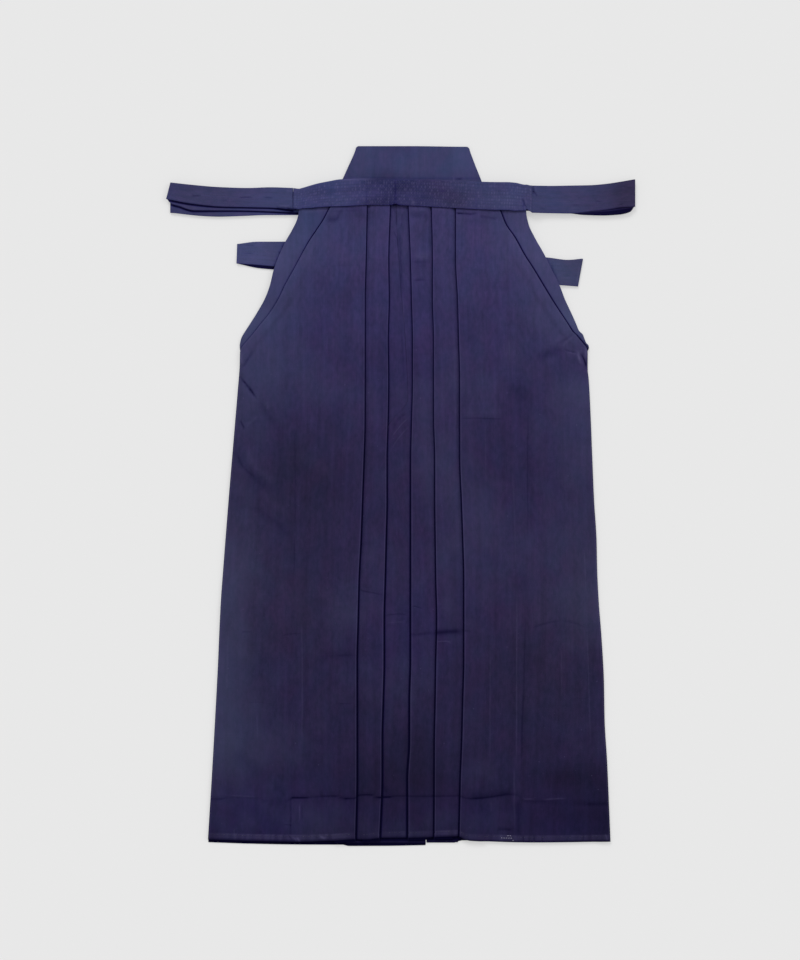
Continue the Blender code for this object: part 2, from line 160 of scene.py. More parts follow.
RIGHT_SIDE = rows_of(
    side_row,
    (431, -147, -92.5), (407, -147.2, -105.2), (396, -149.8, -110.9), (381, -157.2, -120.9),
    (364, -166.8, -132.2), (325, -183, -153.6), (303, -188.4, -165.9), (286, -194.6, -173.9),
    (262, -208, -188.9), (249, -216.2, -199.7), (239, -222.7, -207.5), (227, -229.7, -217.4),
    (220, -231.6, -223.4), (216, -232.1, -227.2), (211, -231.8, -230.4), (206, -231.2),
    (187, -231.7), (173, -232.7), (137, -235.7), (79, -240.6),
    (22, -245.4), (-36, -250.1), (-94, -254.6), (-151, -258.8),
    (-195, -261), (-238, -262.8), (-324, -267.3), (-410, -272.2),
    (-495, -277.4),
)
LEFT_SIDE = rows_of(
    side_row,
    (431, 179.5, 131.6), (407, 180, 142.8), (390, 183.5, 149.7), (372, 191.9, 162.1), (345, 207.1, 177.1),
    (328, 215.2, 188.2), (303, 227.7, 203.2), (282, 235.9, 216), (265, 244.1, 227.3), (247, 252.2, 239.3),
    (238, 255.9, 244.8), (234.5, 259.2, 247.5), (232, 261.7, 250.4), (228, 263.3, 254), (220, 266.6, 260.6),
    (216, 270, 264), (213, 270.4, 266.6), (206, 268.1), (182, 268.2), (166, 269.8),
    (109, 272.7), (51, 275), (-6, 277.4), (-64, 281), (-107, 281.9),
    (-150, 284), (-208, 288.4), (-265, 291.5), (-323, 292.6),
    (-381, 296.1), (-495, 301),
)
Seam = namedtuple("Seam", "y x")
LEG_SEAM = rows_of(
    Seam,
    (431, -7), (390, -6), (296, 0), (224, 6), (140, 10), (104, -15.8), (60, -34), (-150, -38), (-495, -44),
)
Hem = namedtuple("Hem", "x y")
FRONT_HEM = rows_of(
    Hem,
    (-278, -494.4), (-220, -496.4), (-145, -497.5), (-100, -496), (-68, -494), (-50, -494.2), (-30, -492.2),
    (10, -491.8), (40, -491), (82, -489.6), (95, -495.6), (120, -496.9), (190, -498.7), (300, -497.6),
)
HEM_REACH = 110.0
UNDER_DROP = 3.4  # the pleats' lower layers hang this much lower,
UNDER_SHOWS = 86.0  # up to this place across
print(len(PLEATS), "places along each pleat's edge")

# %% [markdown]
# ## How high each layer lies
# The fronts lie on the backs, and near the waistband also on the back board and on the hidden stretches
# of the straps, so their lowest layer rises there. `inside` is its height over the middle, and `edge` its
# height along the sides.

# %% Heights
Height = namedtuple("Height", "y inside edge")
HEIGHTS = rows_of(
    Height,
    (431, 6.2, 7.8), (409, 6.2, 7.6), (396, 5.9, 6.6), (376, 5.6, 5.4), (292, 5.4, 5.4), (265, 4.7, 2.4),
    (216, 4.4, 1.8), (0, 4.4, 1.8), (-110, 3.1, 1.8), (-495, 3.1, 1.8),
)
Shoulder = namedtuple("Shoulder", "y flat full")
SHOULDERS = [Shoulder(431, 30, 45), Shoulder(400, 30, 45), Shoulder(300, 5, 110), Shoulder(-495, 5, 110)]


def base_height(x, y, edge):
    inside, outside = along(HEIGHTS, "inside", y), along(HEIGHTS, "edge", y)
    flat, full = along(SHOULDERS, "flat", y), along(SHOULDERS, "full", y)
    return blend(outside, inside, ease((np.abs(x - edge) - flat) / (full - flat)))


# %% [markdown]
# ## The waistband's table
# The waistband's lower edge is needed early, because it casts a painted shadow on the fronts below it.
# Each row gives its edges at a place across, and the heights of its rear and front walls.

# %% Waistband table
Station = namedtuple("Station", "x bottom top rear front")
WAISTBAND = rows_of(
    Station,
    (-154.7, 410.8, 441.4, 6.3, 9.9), (-147, 411.6, 440.4, 6.3, 10), (-140, 412.7, 442, 6.3, 10.2),
    (-132, 413, 444.4, 6.3, 10.4), (-120, 414, 447.7, 6.2, 11.1), (-105, 415, 450.8, 4.7, 11),
    (-86, 415.5, 454, 4.7, 10.6), (-50, 417, 455.2, 4.7, 10.5), (-10, 417, 455, 4.7, 10.4),
    (30, 415.5, 454, 4.7, 10.4), (75, 413, 452.6, 4.7, 10.5), (114, 411, 450.5, 4.7, 10.6),
    (137, 410.2, 449.9, 4.7, 11), (152, 410, 449.8, 6.2, 11.1), (164, 409.2, 449, 6.3, 10.4),
    (178.6, 409.4, 446.2, 6.3, 10), (180.6, 411.6, 446.3, 6.3, 9.9), (184, 409.4, 445.4, 6.3, 9.7),
    (187.9, 406.8, 445, 6.3, 9.5),
)
print("waistband from", WAISTBAND[0].x, "to", WAISTBAND[-1].x, "mm")

# %% [markdown]
# ## Creases
# Pressed cloth that has been folded for storage keeps soft marks. Each row below is one of them: a line
# with a bend, a width, a height (below zero for a trough) and how much painted shade darkens it, or,
# where that is below zero, how much painted highlight lightens it. A Gaussian across the line and a soft
# fade at both ends give it its shape. The same field moves every layer at a place by the same amount, so
# that layers never cut into each other.
#
# A sharp crease is finer than the mesh's own points. So each point stores only how far it is from the
# crease, in widths, and the finish draws the line itself from that smooth number. Creases that come
# close together go to different slots, so that a point never has to mix two of them.

# %% The crease table
Crease = namedtuple("Crease", "x1 y1 x2 y2 bend width height dark")
CREASES = rows_of(
    Crease,
    # across the wearer's right leg, from the slit's foot
    (-206, 137, -168, 84, 0, 6.5, -1, 0.28), (-197, 134, -189, 124, 0, 5, 0.6, -0.16),
    (-236, 160, -196, 122, 3, 7, 0.8, -0.06), (-240, 66, -172, 2, -8.5, 7.5, -1.1, 0.32),
    (-236, 62, -205, 24, -6, 3, -0.4, 0.26), (-222, 66, -178, 16, -8, 9, 0.9, -0.1),
    (-213, -16, -152, -68, 4, 6, -0.6, 0.3), (-205, 4, -160, -34, 4, 8, 0.5, -0.05),
    (-214, 208, -232, 182, 2, 4, -0.6, 0.4), (-230.5, 204, -229, 188, 0, 4, 0.4, -0.22),
    (-243, -370, -186, -414, 2, 12, -0.6, 0.22), (-150, 60, -90, 20, 4, 12, 0.6, -0.05),
    (-232.8, 172.4, -205.8, 137.4, 0.6, 3.2, -0.9, 0.74), (-231, 108, -225, 96, 0, 2.6, -0.4, 0.7),
    (-222, 103, -206, 114, 0, 4, 0.5, -0.1),
    # under the waistband, on the right
    (-104, 412, -74, 406, 2, 3.5, 0.8, -0.05), (-60, 396, -52, 340, 2, 5, 0.3, 0),
    (-104, 411, -49, 409.5, 0.5, 4.8, -0.6, 0.28), (-107, 397, -87, 399.5, -1.5, 5.4, -1.1, 0.5),
    (-91, 399, -83, 411, 2, 3.4, -0.3, 0.34), (-96, 331, -50, 331, 0, 1.6, -0.3, 0.1),
    (20, 344.5, 42, 344.5, 0, 5, 0.4, -0.24), (20, 331, 43, 331, 0, 7, -0.4, 0.15),
    (20, 309.8, 38, 309.8, 0, 4.4, -0.4, 0.22), (1, 306, 2, 280, 0, 4.4, -0.3, 0.14),
    # and on the left
    (13, 402.6, 43, 401, 0.5, 5.4, -0.7, 0.3), (112, 402, 143, 398, -1, 3.6, -0.6, 0.32),
    (15, 411, 42, 410, 0, 4.4, 0.6, -0.1), (80, 400, 112, 399, -1, 4, 0.6, -0.025),
    (46, 411, 74, 411, 0, 1.6, 0.15, -0.126), (78, 406, 114, 405, -1, 2.8, -0.3, 0.74),
    (167.4, -437, 166.9, -490, 0, 6.6, -0.3, 0.4), (92, 119, 148, 119, 0, 9, 0.4, -0.1),
    # by the foot of the left slit
    (248, 232, 222, 218, 1, 4, -0.5, 0.26), (196, 197.5, 236, 210.5, 1.6, 7, -0.9, 0.42),
    (205, 212, 246, 226, 3, 6, 0.9, -0.08), (236, 210.5, 254, 205, -0.6, 2.6, -0.6, 0.4),
    (240, 207.6, 256, 203, 0, 2.6, 0.4, -0.2), (255, 207, 260, 189, -1.6, 3.2, 0.9, -0.42),
    (157, 160, 182, 132, 0, 13, -0.5, 0.16), (214, 188, 248, 176, -4, 8, 0.5, 0),
    (232, 213, 252, 232, 2, 2.2, 0.15, -0.109), (260, 203, 267, 181, 1, 3, -0.9, 0.85),
    (265.8, 213, 266.4, 198, 0, 3, 0.3, -0.3),
    # storage folds, across
    (88, -194, 102, -196, 0, 3, -0.5, 0.28), (-116, -232, -62, -230, 1, 7.5, -0.6, 0.26),
    (-94, -230, -63, -229, 0, 2.4, -0.3, 0.26), (16, 336, 44, 335, 0, 3.4, -0.5, 0.22),
    (-140, 310, -98, 306, -3, 6, -0.3, 0.08), (110, 300, 170, 292, 4, 8, -0.3, 0.08),
    (46, -197.7, 92, -195, 1, 6.2, -0.6, 0.8), (13, -199.6, 50, -197.6, 0, 4.2, -0.4, 0.46),
    (16, -159, 31, -163, 1, 1.4, -0.3, 0.5), (52, -210, 72, -210, 1, 0.9, 0.15, -0.21),
    (190, -190, 232, -180, 2, 2.6, -0.3, 0.3), (232, -180, 268, -191, 2, 2.6, -0.3, 0.24),
    (175, -284, 172.4, -372, 0, 1.9, -0.3, 0.4), (231, -222, 231, -296, 0, 1.6, 0.15, -0.07),
    (-229, -196, -214, -196, 0, 1.8, -0.3, 0.3), (-170, -201, -142, -199, 1, 1.8, -0.3, 0.32),
    (-93, -299, -67, -299, 0, 1.8, -0.3, 0.34), (-207, -316, -207, -353, 0, 1.5, 0.15, -0.08),
    (-220, -298, -190, -299, 1, 1.8, -0.3, 0.16), (-60, -135, -22, -143, -1, 2.4, -0.3, 0.45),
    (-22, -172, 10, -171, 1, 2, -0.3, 0.36), (-20, -183, 8, -182, 1, 1.6, 0.15, -0.076),
    (88, 111, 154, 109, 1, 1.7, -0.3, 0.34), (17, 309.6, 38, 309.6, 0, 1.8, -0.3, 0.22),
    # in the middle strip, down to the crotch
    (-3, 381, 0, 289, 1, 3.4, -0.7, 0.42), (6, 118, -12, 92, -3, 3.4, -0.5, 0.3),
    (-11, 380, -5, 352, 3, 1.6, -0.3, 0.35), (-9, 413, -8, 384, 1.5, 2.6, -0.4, 0.34),
    (2, 405, -2, 382, 1, 2.2, -0.3, 0.28), (3, 285, 4, 240, 0, 1.6, 0.15, -0.118),
    (0, 240, 4, 150, 1, 2, -0.3, 0.22), (11, 112, -15, 81, -2, 1.3, 0.15, -0.151),
    (12, 100, -14, 66, -2, 1.3, 0.15, -0.109),
    # the panels' own seams and pressed lines, down the legs
    (77, 242, 78, 64, 0, 4, 0.3, -0.059), (-153.6, 96, -152.6, -64, 1, 2.2, -0.3, 0.26),
    (-153.6, -60, -153.6, -112, 0, 1.6, -0.3, 0.38), (-143, -180, -143, -370, 1, 1.7, 0.15, -0.08),
    (-157.8, -382, -158.2, -434, 0, 2.3, -0.3, 0.16), (183, 130, 183, -76, -1, 1.6, -0.3, 0.32),
    (178.6, -172, 171.4, -430, 1, 1.9, -0.3, 0.34), (166.6, -138, 166, -416, 0, 1.5, 0.15, -0.109),
    (128, -220, 128, -400, 0, 1.5, 0.15, -0.076), (121, 110, 122, 6, 0, 1.5, 0.15, -0.067),
    (160, 34, 165, -112, 1, 1.6, 0.15, -0.076), (150.6, 363, 151, 318, 0, 1.5, 0.15, -0.092),
    (155.5, 226, 156, 190, 0, 1.5, 0.15, -0.109), (264, -80, 266, -142, 0, 1.3, 0.15, -0.109),
    (268, -196, 273, -368, 0, 1.5, 0.15, -0.084), (-249, -200, -251, -292, 0, 2.4, 0.15, -0.067),
    # small puckers over the hem
    (169.6, -430, 169.6, -494, 0, 4, -0.3, 0.3), (138, -475, 162, -477, 0, 4, -0.4, 0.3),
    (-158.4, -432, -158.8, -494, 0, 2.6, -0.3, 0.42), (-146, -442, -146, -467, 0, 1.2, 0.15, -0.134),
    (-142.6, -442, -142.6, -467, 0, 1.2, -0.3, 0.34), (-168, -471, -156, -472, 0, 1.5, -0.3, 0.42),
    (163, -394, 163, -484, 0, 2.2, 0.15, -0.09), (176, -434.6, 192, -434.6, 0, 1.6, 0.1, -0.12),
    (205, -434.8, 240, -433.6, 0, 1.6, 0.1, -0.13), (-246, -431, -205, -432, 0, 1.8, 0.1, -0.08),
    (100, -431, 170, -424, 0, 7, -0.4, 0.34), (-27, -416, -16, -433, 0, 5, -0.3, 0.4),
    (-182, -418, -166, -434, 2, 6, -0.4, 0.3), (176, -486, 176, -496, 0, 2, -0.2, 0.4),
    (184, -486, 184, -496, 0, 1.6, -0.2, 0.4), (191, -485, 191, -496, 0, 2.2, -0.2, 0.45),
    (203, -486, 203, -496, 0, 1.8, -0.2, 0.35), (263, -484, 262, -496, 0, 2, -0.2, 0.3),
    (-240, -478, -240, -490, 0, 2, 0.1, -0.1), (-150, -489, -145, -496, 0, 3, 0.2, -0.3),
    (-117, -488, -109, -492, 0, 3.4, 0.2, -0.3), (-124, -487, -116, -496, 0, 3, -0.2, 0.3),
    (138, -478, 164, -478, 0, 3.4, -0.3, 0.34), (129.6, -438, 129.6, -456, 0, 1.4, 0.15, -0.084),
    (-163, -486, -156, -495, 1, 2, -0.3, 0.45), (-156, -488, -150, -496, 1, 1.6, 0.15, -0.147),
    (-84, -486, -74, -492, 1, 2.4, -0.3, 0.3), (294, -484, 297, -494, 0, 1.8, 0.15, -0.147),
)
SHARP = 4.6  # creases narrower than this are drawn by the finish
NEIGHBOURS = 8.0  # a sharp crease needs this much room to itself in its slot


def sort_into_slots(creases):
    """Sharp creases in as few groups as possible, no two in one group near each other."""
    slots = []
    for c in creases:
        reach = NEIGHBOURS + abs(c.bend)
        box = [end for a, b in ((c.x1, c.x2), (c.y1, c.y2)) for end in (min(a, b) - reach, max(a, b) + reach)]
        for slot in slots:
            if all(box[0] > b[1] or box[1] < b[0] or box[2] > b[3] or box[3] < b[2] for _, b in slot):
                slot.append((c, box))
                break
        else:
            slots.append([(c, box)])
    return [[c for c, _ in slot] for slot in slots]


CREASE_SLOTS = sort_into_slots([c for c in CREASES if c.width < SHARP])
print(len(CREASES), "creases, the sharp ones in", len(CREASE_SLOTS), "slots")

BAND_CREASES = rows_of(
    Crease,
    # the right front strap: loose threads and its end by the waistband
    (-300, 431, -287, 431, 0, 2, -0.2, 0.46), (-233, 428, -212, 428.5, 0.5, 2, -0.2, 0.52),
    (-197, 428.3, -183, 428.3, 0, 1.8, -0.2, 0.42), (-256, 424, -249, 424, 0, 2.4, -0.2, 0.26),
    (-174, 417.5, -159, 415, 0, 2.6, 0.2, -0.24), (-166, 412.5, -146, 411, 0, 3.4, -0.3, 0.8),
    (-178, 413.5, -164, 412.5, 0, 2.6, -0.2, 0.6), (-165, 438, -156, 437, 0, 2.2, 0.2, -0.16),
    (-155.2, 443, -155.2, 411, 0, 1.3, -0.2, 0.62),
    # the left front strap: a crease beside the waistband, and threads
    (189.4, 447, 190, 430, 0, 2.6, -0.4, 0.62), (190.5, 438, 196, 429, 0, 2.4, -0.3, 0.56),
    (185.6, 441, 186.4, 424, 0, 2.2, 0.3, -0.14), (193, 447, 194, 436, 0, 2, 0.3, -0.2),
    (174, 427, 181, 411, 0, 1.9, -0.4, 0.5), (177.4, 427, 181, 419, 0, 2, 0.3, -0.14),
    (245, 417.5, 258, 417.5, 0, 1.8, -0.2, 0.34), (279, 423, 289, 423, 0, 2, -0.2, 0.36),
    (311, 416.5, 319, 420, 0, 1.8, -0.2, 0.3), (202, 414, 205.5, 411, 0, 1.6, -0.2, 0.26),
    (244, 413, 258, 414, 0.5, 2, 0.2, -0.12),
    # the right back strap
    (-227, 348.5, -211, 348, 0, 1.8, -0.2, 0.34), (-224, 360, -209, 359.6, 0, 2, -0.2, 0.3),
    (-208, 363, -188, 363, 0, 2.2, 0.1, -0.1), (-231, 356, -231, 340, 0, 2.2, 0.1, -0.1),
    # the left back strap
    (232, 313.5, 243, 313.5, 0, 1.8, 0.2, -0.14), (216, 334, 224, 309, -1, 4, -0.3, 0.36),
    (256.5, 330, 252.6, 306, 0, 2, 0.2, -0.16),
    # the back board, by the waistband
    (79.5, 455.4, 89, 455.2, 0, 2.6, -0.2, 0.55), (75.4, 459, 76.2, 449, 0, 1.4, 0.2, -0.26),
    (-84, 456.6, -40, 456.6, 0.3, 2.2, 0.1, -0.22),
    # crinkles in the waistband
    (-104, 409, -98, 421, 0, 2, -0.3, 0.3), (-96, 411, -88, 420, 0.8, 2.2, 0.3, -0.22),
)
BAND_SLOTS = sort_into_slots(BAND_CREASES)
print(len(BAND_CREASES), "marks on the straps and the waistband, in", len(BAND_SLOTS), "slots")

# %% [markdown]
# ## The hem
# The hem is turned up by 60 mm and its edge is stitched down again close to the bottom. The turn shows
# as a shallow groove across the front with a painted shade in it, uneven and darker in places, and the
# stitched edge as a thin light band.

# %% Marks along the hem
HEM_DEPTH = 60.0
HEM_STITCH = 8.0
HemMark = namedtuple("HemMark", "x drop dark")
HEM_MARKS = rows_of(
    HemMark,
    (-279, -1.5, 0.35), (-262, -1.5, 0.5), (-250, 0, 0.2), (-240, 0, 0.08), (-205, -0.5, 0.14),
    (-186, -5.5, 0.42), (-172, -5, 0.4), (-162, -2, 0.3), (-156, 1.6, 0.8), (-138, 1.6, 0.75),
    (-128, 2.2, 0.35), (-110, 3.2, 0.52), (-92, 3.4, 0.58), (-86, 1, 0.45), (-80, -0.6, 0.8),
    (-68, -0.6, 0.6), (-58, 4.5, 0.66), (-44, 5, 0.7), (-36, 0.5, 0.6), (-30, 0, 0.9), (-16, 0.4, 0.85),
    (-8, 1.8, 0.45), (8, 1.6, 0.45), (46, 1, 0.5), (84, 1, 0.45), (98, 0, 0.45), (102, 0.2, 0.66),
    (114, 1, 0.62), (130, 2.7, 0.54), (145, 5.2, 0.5), (154, 6.4, 0.44), (168, 6, 0.3), (173, 1, 0.25),
    (178, -3, 0.25), (200, -3.4, 0.4), (215, -4.4, 0.42), (240, -5, 0.5), (262, -6, 0.4), (280, -8, 0.6),
    (300, -8.2, 0.6),
)
HemBand = namedtuple("HemBand", "x light")
HEM_BAND = rows_of(
    HemBand,
    (-278, 0.12), (-258, 0.18), (-240, 0.32), (-190, 0.36), (-160, 0.3), (-148, 0.26), (-80, 0.24),
    (-66, 0.04), (-30, 0.06), (0, 0.12), (46, 0.14), (52, 0.28), (82, 0.24), (92, 0.12), (136, 0.14),
    (142, 0.34), (162, 0.34), (170, 0.2), (298, 0.24),
)


def waves(x, y, length, seed):
    """A gentle uneven surface between -1 and 1: a few plane waves in seeded directions."""
    chance = np.random.RandomState(seed)
    total = np.zeros(np.broadcast(x, y).shape)
    count = 7
    for _ in range(count):
        turn, phase, stretch = chance.uniform(0, 2 * np.pi, 2).tolist() + [chance.uniform(0.7, 1.5)]
        k = 2 * np.pi / (length * stretch)
        total += np.sin(k * (x * np.cos(turn) + y * np.sin(turn)) + phase)
    return total / count * 1.6


def beside_crease(c, x, y):
    """The distance from a crease, and how strong it still is that far along."""
    length = math.hypot(c.x2 - c.x1, c.y2 - c.y1)
    dx, dy = (c.x2 - c.x1) / length, (c.y2 - c.y1) / length
    share = ((x - c.x1) * dx + (y - c.y1) * dy) / length
    off = (x - c.x1) * -dy + (y - c.y1) * dx - c.bend * 4 * share * (1 - share)
    return off, ease(share / 0.2 + 0.3) * ease((1 - share) / 0.3)


def sharp_creases(x, y, slots=CREASE_SLOTS):
    """For each slot: the distance from its nearest crease in widths, and its painted shade and painted
    highlight.
    """
    fields = {}
    for number, slot in enumerate(slots):
        field = np.zeros(x.shape + (3,))
        nearest = np.full(x.shape, 2 * NEIGHBOURS)
        for c in slot:
            off, ends = beside_crease(c, x, y)
            here = (np.abs(off) < nearest) & (ends > 0)
            nearest = np.where(here, np.abs(off), nearest)
            fade = ends * ease((NEIGHBOURS - np.abs(off)) / 2)
            values = np.stack([off / (0.6 * c.width), max(c.dark, 0) * fade, max(-c.dark, 0) * fade], axis=2)
            field = np.where(here[:, :, None], values, field)
        fields[f"crease_{number}"] = field
    return fields


MESH_WIDTH = 5.0  # the narrowest trough that the mesh itself can follow


def crease_field(x, y):
    """How far the creases move the cloth up, and how much painted shade and painted highlight they give it.
    """
    rise = 0.45 + 0.30 * waves(x, y, 120, 1) + 0.10 * waves(x, y, 34, 2)
    marks = np.zeros_like(rise)
    for c in CREASES:
        off, ends = beside_crease(c, x, y)
        rise += c.height * bell(off, max(c.width, MESH_WIDTH)) * ends
        if c.width >= SHARP:
            marks += c.dark * bell(off, 0.75 * c.width) * ends
    turn = HEM + HEM_DEPTH + along(HEM_MARKS, "drop", x)
    strength = along(HEM_MARKS, "dark", x)
    rise += 0.35 * ease((turn - y) / 3 + 0.5) - 0.45 * bell(y - turn, 1.8)
    marks += strength * (0.95 * bell(y - turn, 1.4) + 0.4 * bell(y - turn - 1, 4.5))
    stitched = HEM + HEM_STITCH
    rise -= 0.25 * bell(y - stitched, 1.2)
    # the stitched edge is a light band, and the rim of the hem gets a painted shade
    band = along(HEM_BAND, "light", x) * (1 + 0.5 * waves(x, 0 * y, 9, 6) + 0.3 * waves(x, 0 * y, 40, 7))
    marks -= band * (0.9 * bell(y - stitched - 0.6, 1.2) + 0.55 * ease((stitched - y) / 2))
    marks += 0.95 * bell(y - HEM, 1.9)
    # the waistband casts a painted shadow, with a light line under it at the right
    below = along(WAISTBAND, "bottom", x) - y
    marks += 0.62 * bell(np.maximum(below - 0.4, 0), 1.0)
    marks -= 0.26 * bell(below - 4.2, 1.4) * ease((-70 - x) / 20) * ease((x + 146) / 20)
    return np.maximum(rise, -0.2), np.clip(marks, 0, 1), np.clip(-marks, 0, 1)


EdgeTone = namedtuple("EdgeTone", "y right left")
EDGE_TONES = rows_of(
    EdgeTone,
    (431, 0.36, 0.36), (354, 0.56, 0.56), (303, 0.5, 0.5), (250, 0.58, 0.52), (203, 0.41, 0.2),
    (185, 0.36, 0.16), (152, 0.26, 0.44), (116, 0.3, 0.34), (51, 0.12, 0.3), (1, 0.18, 0.18),
    (-49, 0.26, 0.2), (-100, 0.43, 0.24), (-150, 0.46, 0.4), (-200, 0.48, 0.16), (-251, 0.48, -0.04),
    (-309, 0.52, -0.02), (-352, 0.5, 0.04), (-388, 0.34, -0.06), (-434, 0.14, -0.18), (-495, -0.04, -0.24),
)
EDGE_TONE_REACH = 60.0
Patch = namedtuple("Patch", "x y reach_x reach_y tone brown hue", defaults=(0, 0))
PATCHES = rows_of(
    Patch,
    (30, -400, 75, 34, -0.24), (240, -404, 60, 16, -0.26), (250, -460, 70, 30, -0.1),
    (150, -330, 60, 80, -0.06), (-120, 20, 70, 60, -0.1), (-150, -60, 50, 60, -0.08),
    (168, 145, 20, 22, -0.14), (120, 60, 60, 46, -0.1), (28, 330, 20, 12, -0.12), (-2, 330, 12, 60, -0.1),
    (-80, 300, 90, 30, -0.05), (-118, -470, 60, 26, 0.12), (90, -466, 60, 22, 0.1),
    (-40, -120, 60, 50, 0.08), (70, 180, 18, 90, 0.06), (200, -130, 90, 60, 0.05), (-165, 178, 50, 45, 0.2),
    (-110, 152, 45, 28, 0.14), (-155, 40, 55, 45, -0.1), (-80, -175, 24, 34, 0.18), (60, 50, 40, 45, 0.26),
    (45, 150, 40, 30, 0.12), (68, -50, 30, 60, 0.16), (118, 152, 35, 28, 0.2), (118, -25, 40, 80, 0.2),
    (200, -75, 70, 40, 0.12), (-25, 203, 30, 25, -0.09), (160, -240, 50, 60, -0.08),
    (-190, -370, 50, 34, 0.18), (-20, -400, 70, 34, -0.16), (15, -352, 35, 24, -0.14),
    (225, -405, 45, 20, -0.1), (95, -375, 35, 40, 0.1), (-165, 20, 75, 100, 0, 0.9),
    (-160, -160, 70, 80, 0, 1.1), (215, -240, 80, 80, 0, 0.8), (200, -150, 70, 50, 0, 0.4),
    (-131, 303, 30, 20, -0.07), (157, 203, 20, 24, 0.14), (-175, 120, 50, 80, -0.07),
    (32, 95, 18, 60, 0.12), (-195, -200, 42, 55, -0.13), (10, -255, 45, 30, 0.12),
    (243, -122, 35, 40, -0.09), (68, -150, 16, 34, 0.14), (110, -400, 70, 20, 0.12),
    (32, -352, 18, 20, -0.08), (-190, -448, 90, 40, 0.06, -0.9), (250, -456, 70, 34, -0.03, -0.5),
    (110, -460, 50, 30, 0, -0.5), (-60, 402, 30, 10, -0.15), (-240, -120, 40, 130, 0, 0.9),
    (262, -120, 40, 110, 0, 0.7), (10, -200, 60, 60, 0, -0.5), (0, 230, 50, 80, 0, -0.3),
    (-200, 150, 90, 320, 0.03, 0, -0.35), (-128, 396, 34, 26, -0.04, 0, -0.9), (210, 250, 70, 60, 0.05),
    (-215, -478, 50, 16, 0.06, -0.9), (128, 400, 30, 16, -0.1), (230, -478, 70, 16, 0.06, -0.4),
    (-165, -20, 60, 220, -0.03, 0, -0.1), (-215, 150, 60, 60, 0, 0.4),
)


def tone_field(x, y, sides, column):
    """Where the cloth is lighter or darker over wide, soft patches: first along the sides."""
    from_side = np.abs(x - along(sides, "edge", y))
    tone = along(EDGE_TONES, column, y) * bell(from_side, EDGE_TONE_REACH)
    fields = {"tone": tone + 0.05 * waves(x, y, 90, 11) + 0.05 * waves(x, y, 30, 12)}
    fields.update(brown=0 * tone, hue=0 * tone)
    for p in PATCHES:
        near = bell(x - p.x, p.reach_x) * bell(y - p.y, p.reach_y)
        for key in fields:
            fields[key] = fields[key] + getattr(p, key) * near
    return fields


sample_rise, sample_dark, _ = crease_field(np.array([-215.0, 70.0]), np.array([150.0, -195.0]))
print("rise", sample_rise.round(2), "dark", sample_dark.round(2))

# %% [markdown]
# ## Shader maths as Python
# A material is a graph of nodes, and long sums of Math nodes are hard to read. This small class wraps an
# output socket, so that `a * 2 + b` or `1 - mask` adds the nodes for us. Colours stay out of it: a Math
# node turns a colour grey, so `tint` mixes them with a Mix node. Every other node comes from `node`.

# %% Sockets with operators


class Wire:
    def __init__(self, socket):
        self.socket = socket
        self.tree = socket.id_data

    def math(self, operation, first, second=None, clamp=False):
        made = self.tree.nodes.new("ShaderNodeMath")
        made.operation = operation
        made.use_clamp = clamp
        for slot, value in zip(made.inputs, (first, second)):
            if isinstance(value, Wire):
                self.tree.links.new(value.socket, slot)
            elif value is not None:
                slot.default_value = value
        return Wire(made.outputs[0])

    def __add__(self, other):
        return self.math("ADD", self, other)

    def __sub__(self, other):
        return self.math("SUBTRACT", self, other)

    def __rsub__(self, other):
        return self.math("SUBTRACT", other, self)

    def __mul__(self, other):
        return self.math("MULTIPLY", self, other)

    __radd__ = __add__
    __rmul__ = __mul__

    def sine(self):
        return self.math("SINE", self)

    def power(self, other):
        return self.math("POWER", self, other)

    def clamped(self):
        return self.math("ADD", self, 0.0, clamp=True)

    def exponent(self):
        return self.math("EXPONENT", self)

    def between(self, low, high):
        """0 where the value is at low, 1 where it is at high."""
        return self.math("MULTIPLY", self - low, 1 / (high - low), clamp=True)


